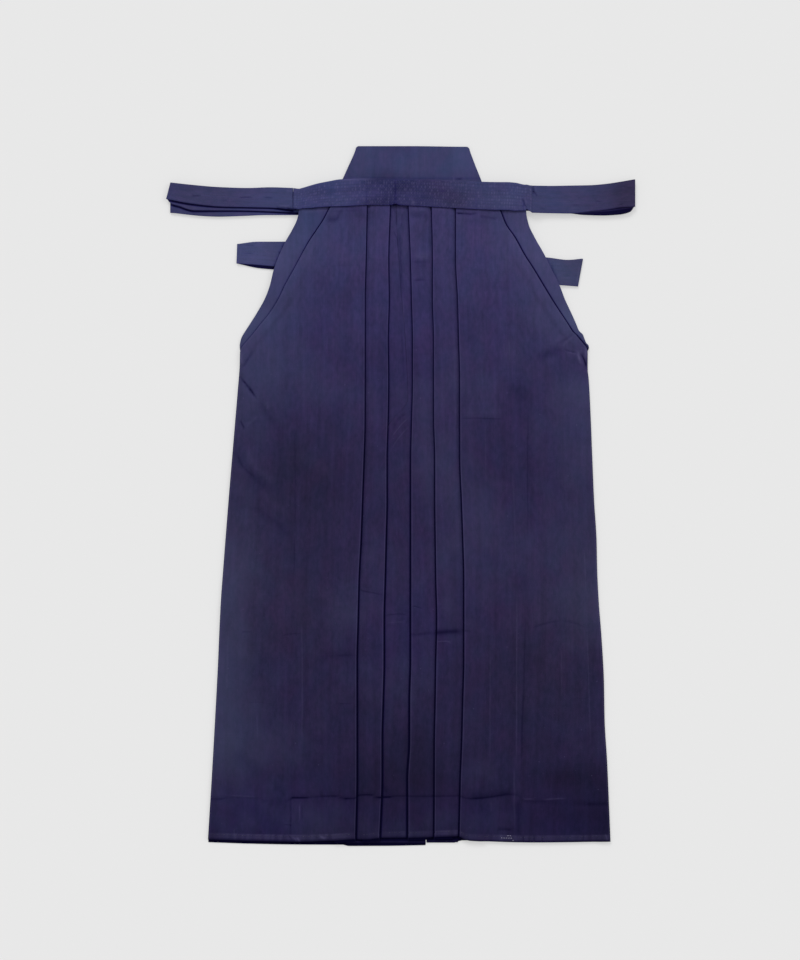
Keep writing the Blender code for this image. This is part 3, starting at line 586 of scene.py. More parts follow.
class Finish:
    """A material, with one way to add any node and one way to mix colours."""

    def __init__(self, name):
        self.material = bpy.data.materials.new(name)
        self.material.use_nodes = True
        self.tree = self.material.node_tree
        self.shader = self.tree.nodes["Principled BSDF"]

    def node(self, kind, settings=None, inputs=None, output=0):
        made = self.tree.nodes.new(kind)
        for name, value in (settings or {}).items():
            if name == "stops":
                self.place_stops(made.color_ramp.elements, value)
            else:
                setattr(made, name, value)
        for name, value in (inputs or {}).items():
            self.plug(made.inputs[name], value)
        return Wire(made.outputs[output])

    def plug(self, slot, value):
        if isinstance(value, Wire):
            self.tree.links.new(value.socket, slot)
        else:
            slot.default_value = value

    def attribute(self, name, output="Fac"):
        return self.node("ShaderNodeAttribute", {"attribute_name": name}, output=output)

    def parts(self, vector):
        return [self.node("ShaderNodeSeparateXYZ", None, {0: vector}, axis) for axis in "XYZ"]

    @staticmethod
    def place_stops(elements, stops):
        while len(elements) < len(stops):
            elements.new(1.0)
        for element, (position, colour) in zip(elements, stops):
            element.position, element.color = position, colour

    def noise(self, vector, across, along_it, detail, roughness=0.5):
        """Noise that repeats so often in a metre, across the warp and along it."""
        settings, inputs = {"operation": "MULTIPLY"}, {0: vector, 1: (across, along_it, 1.0)}
        scaled = self.node("ShaderNodeVectorMath", settings, inputs)
        inputs = {"Vector": scaled, "Scale": 1.0, "Detail": detail, "Roughness": roughness}
        return self.node("ShaderNodeTexNoise", None, inputs)

    def creases(self, count, drift):
        """The sharp creases as two masks, painted shade and painted highlight, wandering and fading unevenly.
        """
        dark, light = 0.0, 0.0
        for number in range(count):
            off, its_dark, its_light = self.parts(self.attribute(f"crease_{number}", "Vector"))
            off = off + (drift - 0.5) * 1.6
            shape = (off * off * -1.0).exponent()
            dark, light = dark + its_dark * shape, light + its_light * shape
        return dark, light

    def tint(self, factor, a, b, way="MIX"):
        settings = {"data_type": "RGBA", "blend_type": way, "clamp_factor": True}
        return self.node("ShaderNodeMix", settings, {0: factor, 6: a, 7: b}, output=2)

    def set(self, **values):
        for name, value in values.items():
            self.plug(self.shader.inputs[name.replace("_", " ")], value)


# %% [markdown]
# ## The cloth's finish
# The cloth is a plain weave of indigo polyester and rayon. Close up it shows its threads, with thicker
# slubs here and there along the warp and the weft. Further off, it is dyed slightly unevenly, bluer in
# some places and more purple in others. On the body cloth a painted shade darkens it towards the hems,
# where the light falls off. Folded edges carry a thin painted highlight, and the bottoms of creases a
# painted shade.
#
# Every sheet carries its own thread coordinates as a mesh attribute: across the warp, and along it, in
# metres. The weave then follows each folded strap and pleat. One function makes all the cloths.

# %% Colours and finishes
Stop = namedtuple("Stop", "y r g b")
# from hem to top: the dye, darkened towards the hems by a painted shade where the light falls off
BODY_DYE_AND_PAINTED_FALLOFF = rows_of(
    Stop,
    (-495, 0.013, 0.0106, 0.0365), (-453, 0.0136, 0.0108, 0.0385), (-395, 0.0162, 0.0134, 0.044),
    (-309, 0.0182, 0.0153, 0.048), (-136, 0.0226, 0.0184, 0.059), (37, 0.0228, 0.0186, 0.0595),
    (185, 0.0275, 0.0232, 0.0745), (300, 0.0345, 0.031, 0.096), (354, 0.0405, 0.0373, 0.1115),
    (430, 0.039, 0.0364, 0.108),
)
STRAP_DYE = [Stop(-495, 0.0420, 0.0452, 0.1205), Stop(500, 0.0420, 0.0452, 0.1205)]
BOARD_DYE = [Stop(-495, 0.0412, 0.0460, 0.1200), Stop(500, 0.0412, 0.0460, 0.1200)]
BLUER = (0.93, 1.025, 1.035, 1)
PURPLER = (1.07, 0.955, 1.00, 1)
WARM_PURPLE = (1.10, 0.86, 0.92, 1)
BROWNER = (1.03, 1.04, 0.90, 1)
COOLER = (1.00, 0.97, 1.22, 1)
CYANER = (0.78, 0.97, 1.00, 1)
REDDER = (1.045, 0.965, 0.99, 1)
# pale colour of painted highlight, of wear and of specks
HIGHLIGHT_AND_WEAR = (0.150, 0.132, 0.280, 1)
HAZE = (0.105, 0.130, 0.245, 1)
# colours of painted shade: beside edges and under folds, in creases, and near black at its deepest
SHADED = (0.30, 0.25, 0.75, 1)
CREASE_SHADE = (0.31, 0.29, 0.52, 1)
DEEP = (0.0005, 0.0002, 0.0128, 1)


Noise = namedtuple("Noise", "across along_it detail roughness")
NOISES = {
    "warp_slubs": Noise(620, 26, 2, 0.6),
    "weft_slubs": Noise(24, 620, 2, 0.6),
    "grain": Noise(420, 210, 1, 0.5),
    "mottle": Noise(190, 95, 1, 0.5),
    "broad": Noise(26, 15, 1, 0.5),
    "patches": Noise(40, 26, 0, 0.5),
    "streaks": Noise(105, 3, 1, 0.5),
    "specks": Noise(300, 260, 0, 0.5),
}
UNEVEN = dict(warp_slubs=0.26, weft_slubs=0.10, grain=0.14, mottle=0.46, broad=0.14, streaks=0.42)
MIDDLE = 0.64  # the lightness about which the contrast changes
MARKS = ("shade", "creased", "wear", "tone", "hue", "brown")
THREAD_PITCH = 1.1  # millimetres from one thread to the next but one
BUMP_DEPTH = 0.0004  # metres for each 1.0 of the bumps


def cloth_finish(name, dye_and_painted_falloff, weave_depth, slots=0, contrast=1.0):
    f = Finish(name)
    thread = f.attribute("thread", "Vector")
    shade, creased, wear, tone, hue, brown = (f.attribute(mark) for mark in MARKS)
    place = f.node("ShaderNodeTexCoord", output="Object")
    height = f.parts(place)[1]
    across, down, _ = f.parts(thread)
    turn = 2 * math.pi / (THREAD_PITCH * MM)
    weave = (across * turn).sine() * (down * turn).sine()
    noise = {key: f.noise(thread, *row) for key, row in NOISES.items()}

    # along the height; on the body cloth a painted shade darkens it towards the hems
    low, high = dye_and_painted_falloff[0].y * MM, dye_and_painted_falloff[-1].y * MM
    stops = [((s.y * MM - low) / (high - low), (s.r, s.g, s.b, 1)) for s in dye_and_painted_falloff]
    colour = f.node("ShaderNodeValToRGB", {"stops": stops}, {0: height.between(low, high)})
    for share, shift in (
        (noise["patches"].between(0.40, 0.66), BLUER),
        (noise["broad"].between(0.42, 0.66), PURPLER),
        (noise["mottle"].between(0.40, 0.60), REDDER),
        (hue.clamped(), WARM_PURPLE),
        ((hue * -1.0).clamped(), CYANER),
        (brown.clamped(), BROWNER),
        ((brown * -1.0).clamped(), COOLER),
    ):
        colour = f.tint(share, colour, shift, "MULTIPLY")
    lightness = 0.04 * weave - 0.12
    for key, amount in UNEVEN.items():
        lightness = lightness + amount * noise[key]
    darker = f.node("ShaderNodeMath", {"operation": "MINIMUM"}, {0: tone, 1: 0.0})
    lightness = (lightness * contrast + (1 - MIDDLE * contrast)) * (darker + 1)
    grey = f.node("ShaderNodeCombineXYZ", None, {"X": lightness, "Y": lightness, "Z": lightness})
    colour = f.tint(1.0, colour, grey, "MULTIPLY")
    colour = f.tint((tone * 0.33).clamped(), colour, HAZE)
    specks = noise["specks"].between(0.84, 0.90)
    # painted highlight and wear along pressed edges and ridges, and pale specks of lint
    colour = f.tint((wear * 0.5 + specks * 0.13).clamped(), colour, HIGHLIGHT_AND_WEAR)
    bumps = weave * 0.35 + noise["warp_slubs"] * 0.9 + noise["weft_slubs"] * 0.7
    if slots:
        drift = f.noise(place, 60, 60, 2, 0.6)
        uneven = 0.3 + 1.4 * f.noise(place, 110, 110, 1, 0.6)
        # the sharp creases: painted shade in their troughs, painted highlight on their ridges
        dark, light = f.creases(slots, drift)
        creased = creased + dark * uneven * (1 - creased)
        colour = f.tint((light * uneven * 0.6).clamped(), colour, HIGHLIGHT_AND_WEAR)
        bumps = bumps + light * 2.0 - dark * 4.0
    # painted shade: in creases, grooves and below the waistband, then beside pleat edges and under folds
    for depth, darkened in ((creased.clamped(), CREASE_SHADE), (shade.clamped(), SHADED)):
        colour = f.tint(depth, colour, darkened, "MULTIPLY")
        colour = f.tint(depth.power(4.0), colour, DEEP)
    relief = {"Strength": weave_depth, "Distance": BUMP_DEPTH, "Height": bumps}
    normal = f.node("ShaderNodeBump", None, relief)
    f.set(Base_Color=colour, Roughness=0.78 + 0.14 * noise["broad"], Normal=normal)
    f.set(Sheen_Weight=0.05, Sheen_Roughness=0.4, Sheen_Tint=(0.62, 0.64, 1.0, 1), Specular_IOR_Level=0.04)
    return f.material


body_cloth = cloth_finish("body_cloth", BODY_DYE_AND_PAINTED_FALLOFF, 0.45)
front_cloth = cloth_finish("front_cloth", BODY_DYE_AND_PAINTED_FALLOFF, 0.45, len(CREASE_SLOTS))
strap_cloth = cloth_finish("strap_cloth", STRAP_DYE, 0.50, len(BAND_SLOTS), contrast=0.8)
board_cloth = cloth_finish("board_cloth", BOARD_DYE, 0.30, len(BAND_SLOTS), contrast=0.6)


def thread_finish(name, colour):
    f = Finish(name)
    twist = f.noise(f.node("ShaderNodeTexCoord", output="Object"), 900, 900, 1)
    darker = tuple(0.55 * part for part in colour[:3]) + (1,)
    f.set(Base_Color=f.tint(twist.between(0.3, 0.7), darker, colour), Roughness=0.6 + 0.2 * twist)
    f.set(Sheen_Weight=0.2, Specular_IOR_Level=0.3)
    return f.material


hem_thread = thread_finish("hem_thread", (0.021, 0.017, 0.060, 1))
strap_thread = thread_finish("strap_thread", (0.054, 0.056, 0.142, 1))
pale_thread = thread_finish("pale_thread", (0.420, 0.400, 0.560, 1))
print("finishes:", ", ".join(m.name for m in bpy.data.materials if m.use_nodes))

# %% [markdown]
# ## One way to make a piece of cloth
# Any piece of cloth here is a grid of points, row after row, through the middle of its wall. Solidify
# gives it its thickness and a small Bevel rounds the cut rims. A cloth simulation could settle the
# folds, but pressed pleats are stiff, ordered forms, and placing them one by one keeps them in order.

# %% From grid to cloth
RIM_ANGLE = 65  # degrees; only the cut rims turn more sharply than this


def place(name, data):
    """Put a mesh, a light or a camera into the scene."""
    made = bpy.data.objects.new(name, data)
    bpy.context.scene.collection.objects.link(made)
    return made


def smooth_mesh(name, points, faces, material):
    mesh = bpy.data.meshes.new(name)
    mesh.from_pydata((points.reshape(-1, 3) * MM).tolist(), [], faces)
    mesh.shade_smooth()
    mesh.materials.append(material)
    return mesh


def cloth(name, grid, thread, wall, material, rim=0.35, **marks):
    """grid is rows x columns x 3 and thread rows x columns x 2, both in millimetres.
    marks say how much painted shade the cloth has beside an edge or in a crease, how much painted highlight
    and wear, how light, purple or brown it is, and where its sharp creases run. rim is how round its cut
    edges are, as a share of the wall."""
    rows, columns = grid.shape[:2]
    index = np.arange(rows * columns).reshape(rows, columns)
    corners = (index[:-1, :-1], index[:-1, 1:], index[1:, 1:], index[1:, :-1])
    quads = np.stack([c.ravel() for c in corners], axis=1)
    mesh = smooth_mesh(name, grid, quads.tolist(), material)
    threads = np.zeros((rows * columns, 3))
    threads[:, :2] = thread.reshape(-1, 2) * MM
    mesh.attributes.new("thread", "FLOAT_VECTOR", "POINT").data.foreach_set("vector", threads.ravel())
    for key in MARKS:
        values = np.broadcast_to(marks.get(key, 0.0), (rows, columns)).ravel().astype(float)
        mesh.attributes.new(key, "FLOAT", "POINT").data.foreach_set("value", values)
    for key in (key for key in marks if key.startswith("crease_")):
        mesh.attributes.new(key, "FLOAT_VECTOR", "POINT").data.foreach_set("vector", marks[key].ravel())
    made = place(name, mesh)
    wall_up = made.modifiers.new("wall", "SOLIDIFY")
    wall_up.thickness = wall * MM
    wall_up.offset = 0.0
    wall_up.use_even_offset = True
    rounded = made.modifiers.new("rims", "BEVEL")
    rounded.width = rim * wall * MM
    rounded.segments = 2
    rounded.limit_method = "ANGLE"
    rounded.angle_limit = math.radians(RIM_ANGLE)
    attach(made, "root")
    print(f"{name}: {rows} x {columns} points, wall {wall} mm")
    return made


def lengths(grid, axis):
    """The distance along the grid's rows or columns, counted from their start."""
    steps = np.linalg.norm(np.diff(grid, axis=axis), axis=2)
    start = np.zeros_like(np.take(steps, [0], axis=axis))
    return np.concatenate([start, np.cumsum(steps, axis=axis)], axis=axis)


# %% [markdown]
# ## Pleated sections
# Across the garment, a front runs in and out: it is turned in at the side, rises on to the first pleat,
# turns back under it, turns again, and comes out from below to climb on to the next. `Section` writes
# that path one column of points at a time, for all rows at once. The climb out from under an edge is
# short, so that each edge has a narrow trench beside it, with a painted shade in it, and the strips lie
# level.

# %% A section, column by column
LINE_FADE = 0.8  # beyond its core, the painted shade beside an edge fades this quickly
SHADOW_REACH = 3.6
GLINT_IN = 1.5  # a pressed edge catches the light this far in from its nose
GLINT_WIDE = 0.55
BEYOND = (0.3, 0.9, 1.5, 2.1, 2.7, 3.4, 4.4, 5.6, 6.8)  # points on the lower cloth, past an edge
# How strong the painted shade beside a pleat's edge is on each leg, how wide its core is, how strong
# the painted highlight along the edge is, and how far the edge is from the line in the table of pleats,
# on the right leg and on the left.
Depth = namedtuple("Depth", "y dark_right dark_left core wear right left")
LINE_DEPTH = rows_of(
    Depth,
    (431, 0.58, 0.55, 0.8, 0.1, -0.4, 0.5), (330, 0.6, 0.57, 0.8, 0.12, -0.4, 0.5),
    (216, 0.7, 0.62, 0.9, 0.18, -0.3, 0.6), (120, 0.83, 0.72, 1.1, 0.2, -0.1, 0.8),
    (40, 0.97, 0.92, 1.3, 0.22, 0.1, 1.1), (-100, 1, 1, 1.6, 0.22, 0.1, 1.2),
    (-400, 1, 1, 2.1, 0.2, 0.1, 1.2), (-450, 1, 1, 2.4, 0.18, 0.5, 1.4), (-495, 1, 1, 2.5, 0.16, 0.7, 1.4),
)
NARROWER = {"edge_4": 0.62, "edge_5": 0.62}  # the last two pleats on the left press down harder


def beside_edge(beyond, strength, core=1.7):
    """How much painted shade the lower cloth has, that many millimetres beyond the edge that lies over it."""
    core = bell(np.maximum(beyond - core, 0), LINE_FADE)
    shadow = np.exp(-np.maximum(beyond, 0) / SHADOW_REACH)
    return strength * (0.84 * core + 0.16 * shadow)


class Section:
    def __init__(self, x, layer):
        self.hidden = 0.0  # 1 while the path runs inside a pleat
        self.columns = [(x + 0.0, layer + 0.0 * x, 0.0 * x, 0.0 * x, 0.0 * x)]

    def add(self, x, layer, shade=0.0, wear=0.0):
        flat = 0.0 * self.columns[0][0]
        self.columns.append((x + flat, layer + flat, shade + flat, wear + flat, self.hidden + flat))

    def run(self, x, layer, count, soft=False):
        """Carry on to that place in so many points, level or, where it is soft, in an S."""
        x0, layer0 = self.columns[-1][:2]
        for share in np.linspace(0, 1, count + 1)[1:]:
            climb = ease(share) if soft else share
            self.add(blend(x0, x, share), blend(layer0, layer, climb))

    def near(self, edge, inward, layer, steps, wear):
        """Come up to a pressed edge, with the thin painted highlight that runs beside it."""
        for step in steps:
            glint = bell(step - GLINT_IN, GLINT_WIDE)
            self.add(edge - inward * step, layer, 0.0, wear * glint)

    def emerge(self, edge, inward, strength, core):
        """Come out from below an edge and climb two layers: in painted shade at first, then level."""
        for step in BEYOND:
            climb = 2 * ease((step - BEYOND[0]) / (BEYOND[-1] - BEYOND[0]))
            self.add(edge + inward * step, climb, beside_edge(step, strength, core))

    def reach_seam(self, start, edge, facing, seam, inward, strength, core):
        """Run on along the bottom to the seam, past the edge above and the edge that faces it.
        Where the seam comes sooner, the points are drawn together."""
        before, across = inward * (edge - start), inward * (facing - edge)
        total = inward * (seam - start)
        level = [BEYOND[-1] + share * (across - 2 * BEYOND[-1]) for share in (0.2, 0.4, 0.6, 0.8)]
        beyond = list(BEYOND) + level + [across - step for step in BEYOND[::-1]] + [across + 1.5]
        squeeze = np.minimum(1, np.maximum(total - before, 3) / (beyond[-1] + 1))
        spots = [before - 1.5] + [before + squeeze * step for step in beyond]
        tighter = np.minimum(1, total / (spots[-1] + 0.5))
        for spot in spots:
            x = start + inward * spot * tighter
            sides = [beside_edge(inward * gap, strength, core) for gap in (x - edge, facing - x)]
            self.add(x, 0, np.maximum(*sides))
        self.run(seam, 0, 3)

    def fold(self, nose, pointing, first, last, wear=0.0, shade=0.0, count=6):
        """Turn round a folded edge whose nose is there and points that way, from layer to layer."""
        radius = LAYER / 2
        for angle in np.linspace(-math.pi / 2, math.pi / 2, count):
            x = nose - pointing * radius * (1 - math.cos(angle))
            share = (1 + math.sin(angle)) / 2
            self.add(x, blend(first, last, share), shade * share, wear * max(0.0, math.cos(angle)))

    def arrays(self):
        return [np.stack([column[k] for column in self.columns], axis=1) for k in range(5)]


Band = namedtuple("Band", "low high step")


def spaced_rows(low, high, step, closer):
    """Places from low to high, that many millimetres apart, and closer together in some bands."""
    rows = [low]
    while rows[-1] < high - 0.5 * step:
        here = min([band.step for band in closer if band.low <= rows[-1] < band.high], default=step)
        rows.append(rows[-1] + here)
    rows[-1] = high
    return np.array(rows)


FRONT_BANDS = rows_of(
    Band,
    (HEM, HEM + 14, 1.3), (HEM + HEM_DEPTH - 6, HEM + HEM_DEPTH + 6, 1.2), (-201, -187, 1.6),
    (370, FRONT_TOP, 3),
)
FRONT_ROWS = spaced_rows(HEM, FRONT_TOP, 4.3, FRONT_BANDS)
APPROACH = (5.0, 3.4, 2.5, 2.0, 1.5, 1.0)  # the last points before an edge, from its nose


def front_section(y, sides, inward, edges, narrow, facing):
    side = along(sides, "fold", y)
    turned = side + inward * TURNED_IN
    under = ease((y - SETTLED) / (STRIP_END - SETTLED))
    own_dark = "dark_right" if inward > 0 else "dark_left"
    strength, core, highlight_strength = (along(LINE_DEPTH, column, y) for column in (own_dark, "core", "wear"))
    # the edge that is turned in, and the fold along the side
    s = Section(turned, under)
    s.run(side + inward, under, 3)
    s.fold(side, -inward, under, under + 1)
    s.near(side, -inward, under + 1, APPROACH[::-1], highlight_strength)
    s.run(turned, under + 1, 2)
    # down on to the backs, level, and up on to the outermost pleat
    heel = edges[0] - inward * SIDE_PLEAT_DEPTH
    room = inward * (heel - turned)
    low = (under + 1) * (1 - ease((room - 20) / 60))
    ramp = np.minimum(RAMP, room / 3)
    s.run(turned + inward * ramp, low, 5, soft=True)
    s.run(heel - inward * ramp, low, 40)
    s.run(heel, 2, 5, soft=True)
    # each pleat: its edge, back under it to the heel, and out again below
    for number, edge in enumerate(edges):
        depth = SIDE_PLEAT_DEPTH if number == 0 else INNER_PLEAT_SHARE * np.abs(edge - edges[number - 1])
        heel = edge - inward * depth
        if number > 0:
            s.run(heel, 2, 1)
        s.run(edge - inward * 8, 2, 3)
        s.near(edge, inward, 2, APPROACH, highlight_strength)
        s.hidden = 1.0
        # painted shade on the underside of the fold
        s.fold(edge, inward, 2, 1, shade=0.9)
        s.run(heel + inward, 1, 2)
        s.fold(heel, -inward, 1, 0, count=4)
        s.hidden = 0.0
        if number < len(edges) - 1:
            # painted shade beside the edge, where the cloth comes out below it
            s.add(edge - inward * 1.5, 0, strength)
            s.emerge(edge, inward, strength, core * narrow[number])
    seam = along(LEG_SEAM, "x", y) - inward * SEAM_GAP / 2
    s.reach_seam(heel + inward, edges[-1], facing, seam, inward, strength, core)
    return s.arrays()


def make_front(name, sides, inward, pleats, facing):
    y = FRONT_ROWS
    own, other = ("right", "left") if inward > 0 else ("left", "right")
    edges = [along(PLEATS, pleat, y) - inward * along(LINE_DEPTH, own, y) for pleat in pleats]
    facing = along(PLEATS, facing, y) + inward * along(LINE_DEPTH, other, y)
    narrow = [NARROWER.get(pleat, 1.0) for pleat in pleats]
    x, layer, shade, wear, hidden = front_section(y, sides, inward, edges, narrow, facing)
    yy = all_over(y, x)
    drop = UNDER_DROP * hidden * ease((UNDER_SHOWS - x) / 6)
    lift = np.clip(1 - (yy - HEM) / HEM_REACH, 0, 1) * (along(FRONT_HEM, "y", x) - drop - HEM)
    rise, dark, light = crease_field(x, yy)
    edge_of_side = along(sides, "edge", y)[:, None]
    z = base_height(x, yy, edge_of_side) + LAYER * layer + rise
    grid = np.stack([x, yy + lift, z], axis=2)
    across = lengths(grid, 1)
    first_nose = int(np.argmin(np.abs(x[0] - edges[0][0]) + 5 * (layer[0] != 2)))
    thread = np.stack([inward * (across - across[:, first_nose : first_nose + 1]), yy], axis=2)
    tones = tone_field(x, yy, sides, own)
    # the hidden layers inside the pleats are painted dark, as shade
    shade = np.maximum(shade, 0.97 * hidden)
    marks = {"shade": shade, "creased": dark, "wear": wear + light, **tones, **sharp_creases(x, yy)}
    return cloth(name, grid, thread, CLOTH, front_cloth, **marks), grid


RIGHT_PLEATS, LEFT_PLEATS = ("edge_1", "edge_2"), ("edge_5", "edge_4", "edge_3")
front_right, right_grid = make_front("front_right_cloth", RIGHT_SIDE, 1, RIGHT_PLEATS, "edge_3")
front_left, left_grid = make_front("front_left_cloth", LEFT_SIDE, -1, LEFT_PLEATS, "edge_2")
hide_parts("front_right_leg")
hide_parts("front_left_leg")

# %% [markdown]
# ## The slanted strips
# Beside each side slit shows a narrow slanted strip, which ends in a point at the slit's foot. It lies
# one layer below the front's folded edge. On the real garment it is a tuck of the same panel. It could be
# a few more columns of the front's grid, but those would have no width below the slit. A small grid of
# its own, whose columns draw together towards the point, stays clean.

# %% The strips beside the slits
# how strong and how wide the painted shade beside each slit's fold is, and how much lighter the strip is
SlitDepth = namedtuple("SlitDepth", "y right right_core right_tone left left_core left_tone")
SLIT_DEPTH = rows_of(
    SlitDepth,
    (431, 0.85, 1.7, 0, 0.93, 1.8, 0), (380, 0.98, 2.1, 0, 1, 2.5, 0), (340, 0.72, 1.8, 0, 1, 2.5, 0.04),
    (290, 0.66, 1.7, 0.06, 1, 2.6, 0.08), (270, 0.62, 1.7, 0.14, 1, 2.4, 0.3),
    (250, 0.57, 1.7, 0.16, 0.98, 2.2, 0.42), (236, 0.57, 1.7, 0.2, 1, 2.8, 0.34),
    (222, 0.56, 1.7, 0.24, 1, 3.2, 0.3),
)
STRIP_STEPS = (8.0, 4.0, 1.0, -0.3, -0.9, -1.5, -2.1, -2.8, -3.8, -5.5)  # from the fold, towards the middle
STRIP_POINTS = 12  # from the last of those steps to the outer edge


def strip_columns(width):
    """How far each column lies outside the fold: even where the strip is narrow, else close beside it."""
    far = -STRIP_STEPS[-1]
    near = [np.minimum(-step, width * -step / far) if step < 0 else -step + 0 * width for step in STRIP_STEPS]
    near = [np.where(width < far + 1, np.minimum(a, a * width / (far + 1)), a) for a in near]
    wide = [far + share * (width - far) for share in np.linspace(0, 1, STRIP_POINTS)[1:]]
    outward = near + [np.maximum(b, near[-1] + 0.05 * (n + 1)) for n, b in enumerate(wide)]
    shares = np.linspace(0, 1, len(outward))
    even = [share * (width + STRIP_STEPS[0]) - STRIP_STEPS[0] for share in shares]
    narrow = 1 - ease((width - 7) / 5)
    return [blend(a, b, narrow) for a, b in zip(outward, even)]


def make_strip(name, sides, inward):
    y = spaced_rows(STRIP_END, FRONT_TOP, 2.5, [Band(STRIP_END, 240, 0.9)])
    edge, fold = along(sides, "edge", y), along(sides, "fold", y)
    x = np.stack([fold - inward * out for out in strip_columns(np.abs(fold - edge))], axis=1)
    yy = all_over(y, x)
    rise, dark, light = crease_field(x, yy)
    own = "right" if inward > 0 else "left"
    strength, core, lighter = (along(SLIT_DEPTH, own + part, y)[:, None] for part in ("", "_core", "_tone"))
    shade = beside_edge(inward * (fold[:, None] - x), strength, core)
    grid = np.stack([x, yy, base_height(x, yy, edge[:, None]) + rise], axis=2)
    tones = tone_field(x, yy, sides, own)
    tones["tone"] = tones["tone"] + lighter
    marks = {"shade": shade, "creased": dark, "wear": light, **tones, **sharp_creases(x, yy)}
    return cloth(name, grid, grid[:, :, :2], CLOTH, front_cloth, **marks), grid


strip_right, strip_right_grid = make_strip("slit_strip_right_cloth", RIGHT_SIDE, 1)
strip_left, strip_left_grid = make_strip("slit_strip_left_cloth", LEFT_SIDE, -1)
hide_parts("slit_strip_right")
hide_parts("slit_strip_left")

# %% [markdown]
# ## The backs
# The backs lie flat on the floor. They meet at the middle in one fold, and from there each runs on inside
# the garment. Their hems hang a few millimetres below the fronts', where the layers show at the bottom.
# A plain sheet would do for the little that shows, but it would look wrong from behind, so the same
# `Section` that drew the pleats folds them too.

# %% Backs
Back = namedtuple("Back", "y centre inside_right inside_left")
BACKS = rows_of(Back, (418.4, 14, 44, 30), (216, 20, 70, 34), (-150, 30, 96, 40), (-503, 36, 114, 45))
BACK_HEM_RIGHT = rows_of(
    Hem,
    (-278, -498.7), (-220, -500.8), (-150, -502.1), (-80, -502.4), (-76, -504.2), (-20, -504), (36, -503),
)
BACK_HEM_LEFT = rows_of(Hem, (36, -499.4), (80, -499.4), (84, -496.2), (300, -495.2))
SLIT_FOOT = 206.0
BACK_TOP = 418.4
BACK_HEM = -503.0
FOLD_REACH = 0.71  # how far the wall goes past the middle of a folded edge
UNDER_FRONT = 14.0  # so high above its hem the back gets a painted shade, as it lies under the front


def make_back(name, sides, inward, inside, top_x, hem_table, fold_hem, gap):
    """top_x is where the side ends at the top, and fold_hem the hem of what is folded under."""
    y = spaced_rows(BACK_HEM, BACK_TOP, 6.0, [Band(BACK_HEM, BACK_HEM + 12, 1.5)])
    foot = along(sides, "edge", np.array([SLIT_FOOT]))[0]
    slant = blend(foot, top_x, (y - SLIT_FOOT) / (BACK_TOP - SLIT_FOOT))
    side = np.where(y <= SLIT_FOOT, along(sides, "edge", y), slant)
    centre = along(BACKS, "centre", y) - inward * (gap + FOLD_REACH)
    inner = centre - inward * along(BACKS, inside, y)
    s = Section(side, 0)
    s.add(side + inward * 1.2, 0)
    s.run(centre - inward * 2, 0, 48)
    # a thin painted highlight along the fold at the middle
    s.fold(centre, inward, 0, 1, wear=0.3)
    s.run(inner, 1, 10)
    x, layer, shade, wear, _ = s.arrays()
    yy = all_over(y, x)
    low = blend(along(hem_table, "y", x), fold_hem, layer)
    share = np.clip(1 - (yy - BACK_HEM) / HEM_REACH, 0, 1)
    grid = np.stack([x, yy + share * (low - BACK_HEM), CLOTH / 2 + 0.1 + LAYER * layer], axis=2)
    thread = np.stack([inward * lengths(grid, 1), yy], axis=2)
    above = yy - BACK_HEM
    # painted shade at the hem's turn and under the front, less of it on the rim of the folded layer
    shade = shade + 0.35 * bell(above - HEM_DEPTH, 1.4) * (layer < 0.1)
    grey_rim = 0.45 * ease(layer) * bell(above - 1.4, 1.2)
    shade = np.maximum(shade, 0.96 * ease((UNDER_FRONT - above) / 3)) - grey_rim
    wide = along(sides, "edge", y)[:, None] + 0 * x
    tone = 0.10 * bell(x - wide, EDGE_TONE_REACH) + 0.06 * waves(x, yy, 90, 13)
    return cloth(name, grid, thread, CLOTH, body_cloth, shade=shade, wear=wear, tone=tone), grid


right_ends = dict(top_x=-105.0, hem_table=BACK_HEM_RIGHT, fold_hem=-499.4, gap=0.0)
left_ends = dict(top_x=126.0, hem_table=BACK_HEM_LEFT, fold_hem=-498.6, gap=SEAM_GAP)
back_right, back_right_grid = make_back("back_right_cloth", RIGHT_SIDE, 1, "inside_right", **right_ends)
back_left, back_left_grid = make_back("back_left_cloth", LEFT_SIDE, -1, "inside_left", **left_ends)
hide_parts("back_right_leg")
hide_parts("back_left_leg")

# %% [markdown]
# ## The gusset
# The gusset is a folded square of the same cloth between the legs. It lies wholly inside, so the frame's
# own solid stays, with the cloth's finish.

# %% Gusset
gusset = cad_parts["crotch_gusset"]
gusset.data.materials.clear()
gusset.data.materials.append(body_cloth)

# %% [markdown]
# ## The waistband
# The waistband is the middle of the long front strap, folded over the top of the fronts and stitched
# through in close rows. The rows pull shallow furrows into it, with small ridges between them. A bump
# in the finish could show those from above. Here the mesh has them, as its points are close enough
# together for that, and they then show in low views and in light from the side as well.

# %% Waistband
BAND_TURN = 1.3
BAND_ROWS = 8  # rows of stitches along the waistband
STITCH_EDGE = 2.4  # from the edge to the first row
STITCH_PITCH = 3.7
BAND_WIDTH = 38.0
BAND_COLUMNS = 345  # points along the waistband, about one a millimetre
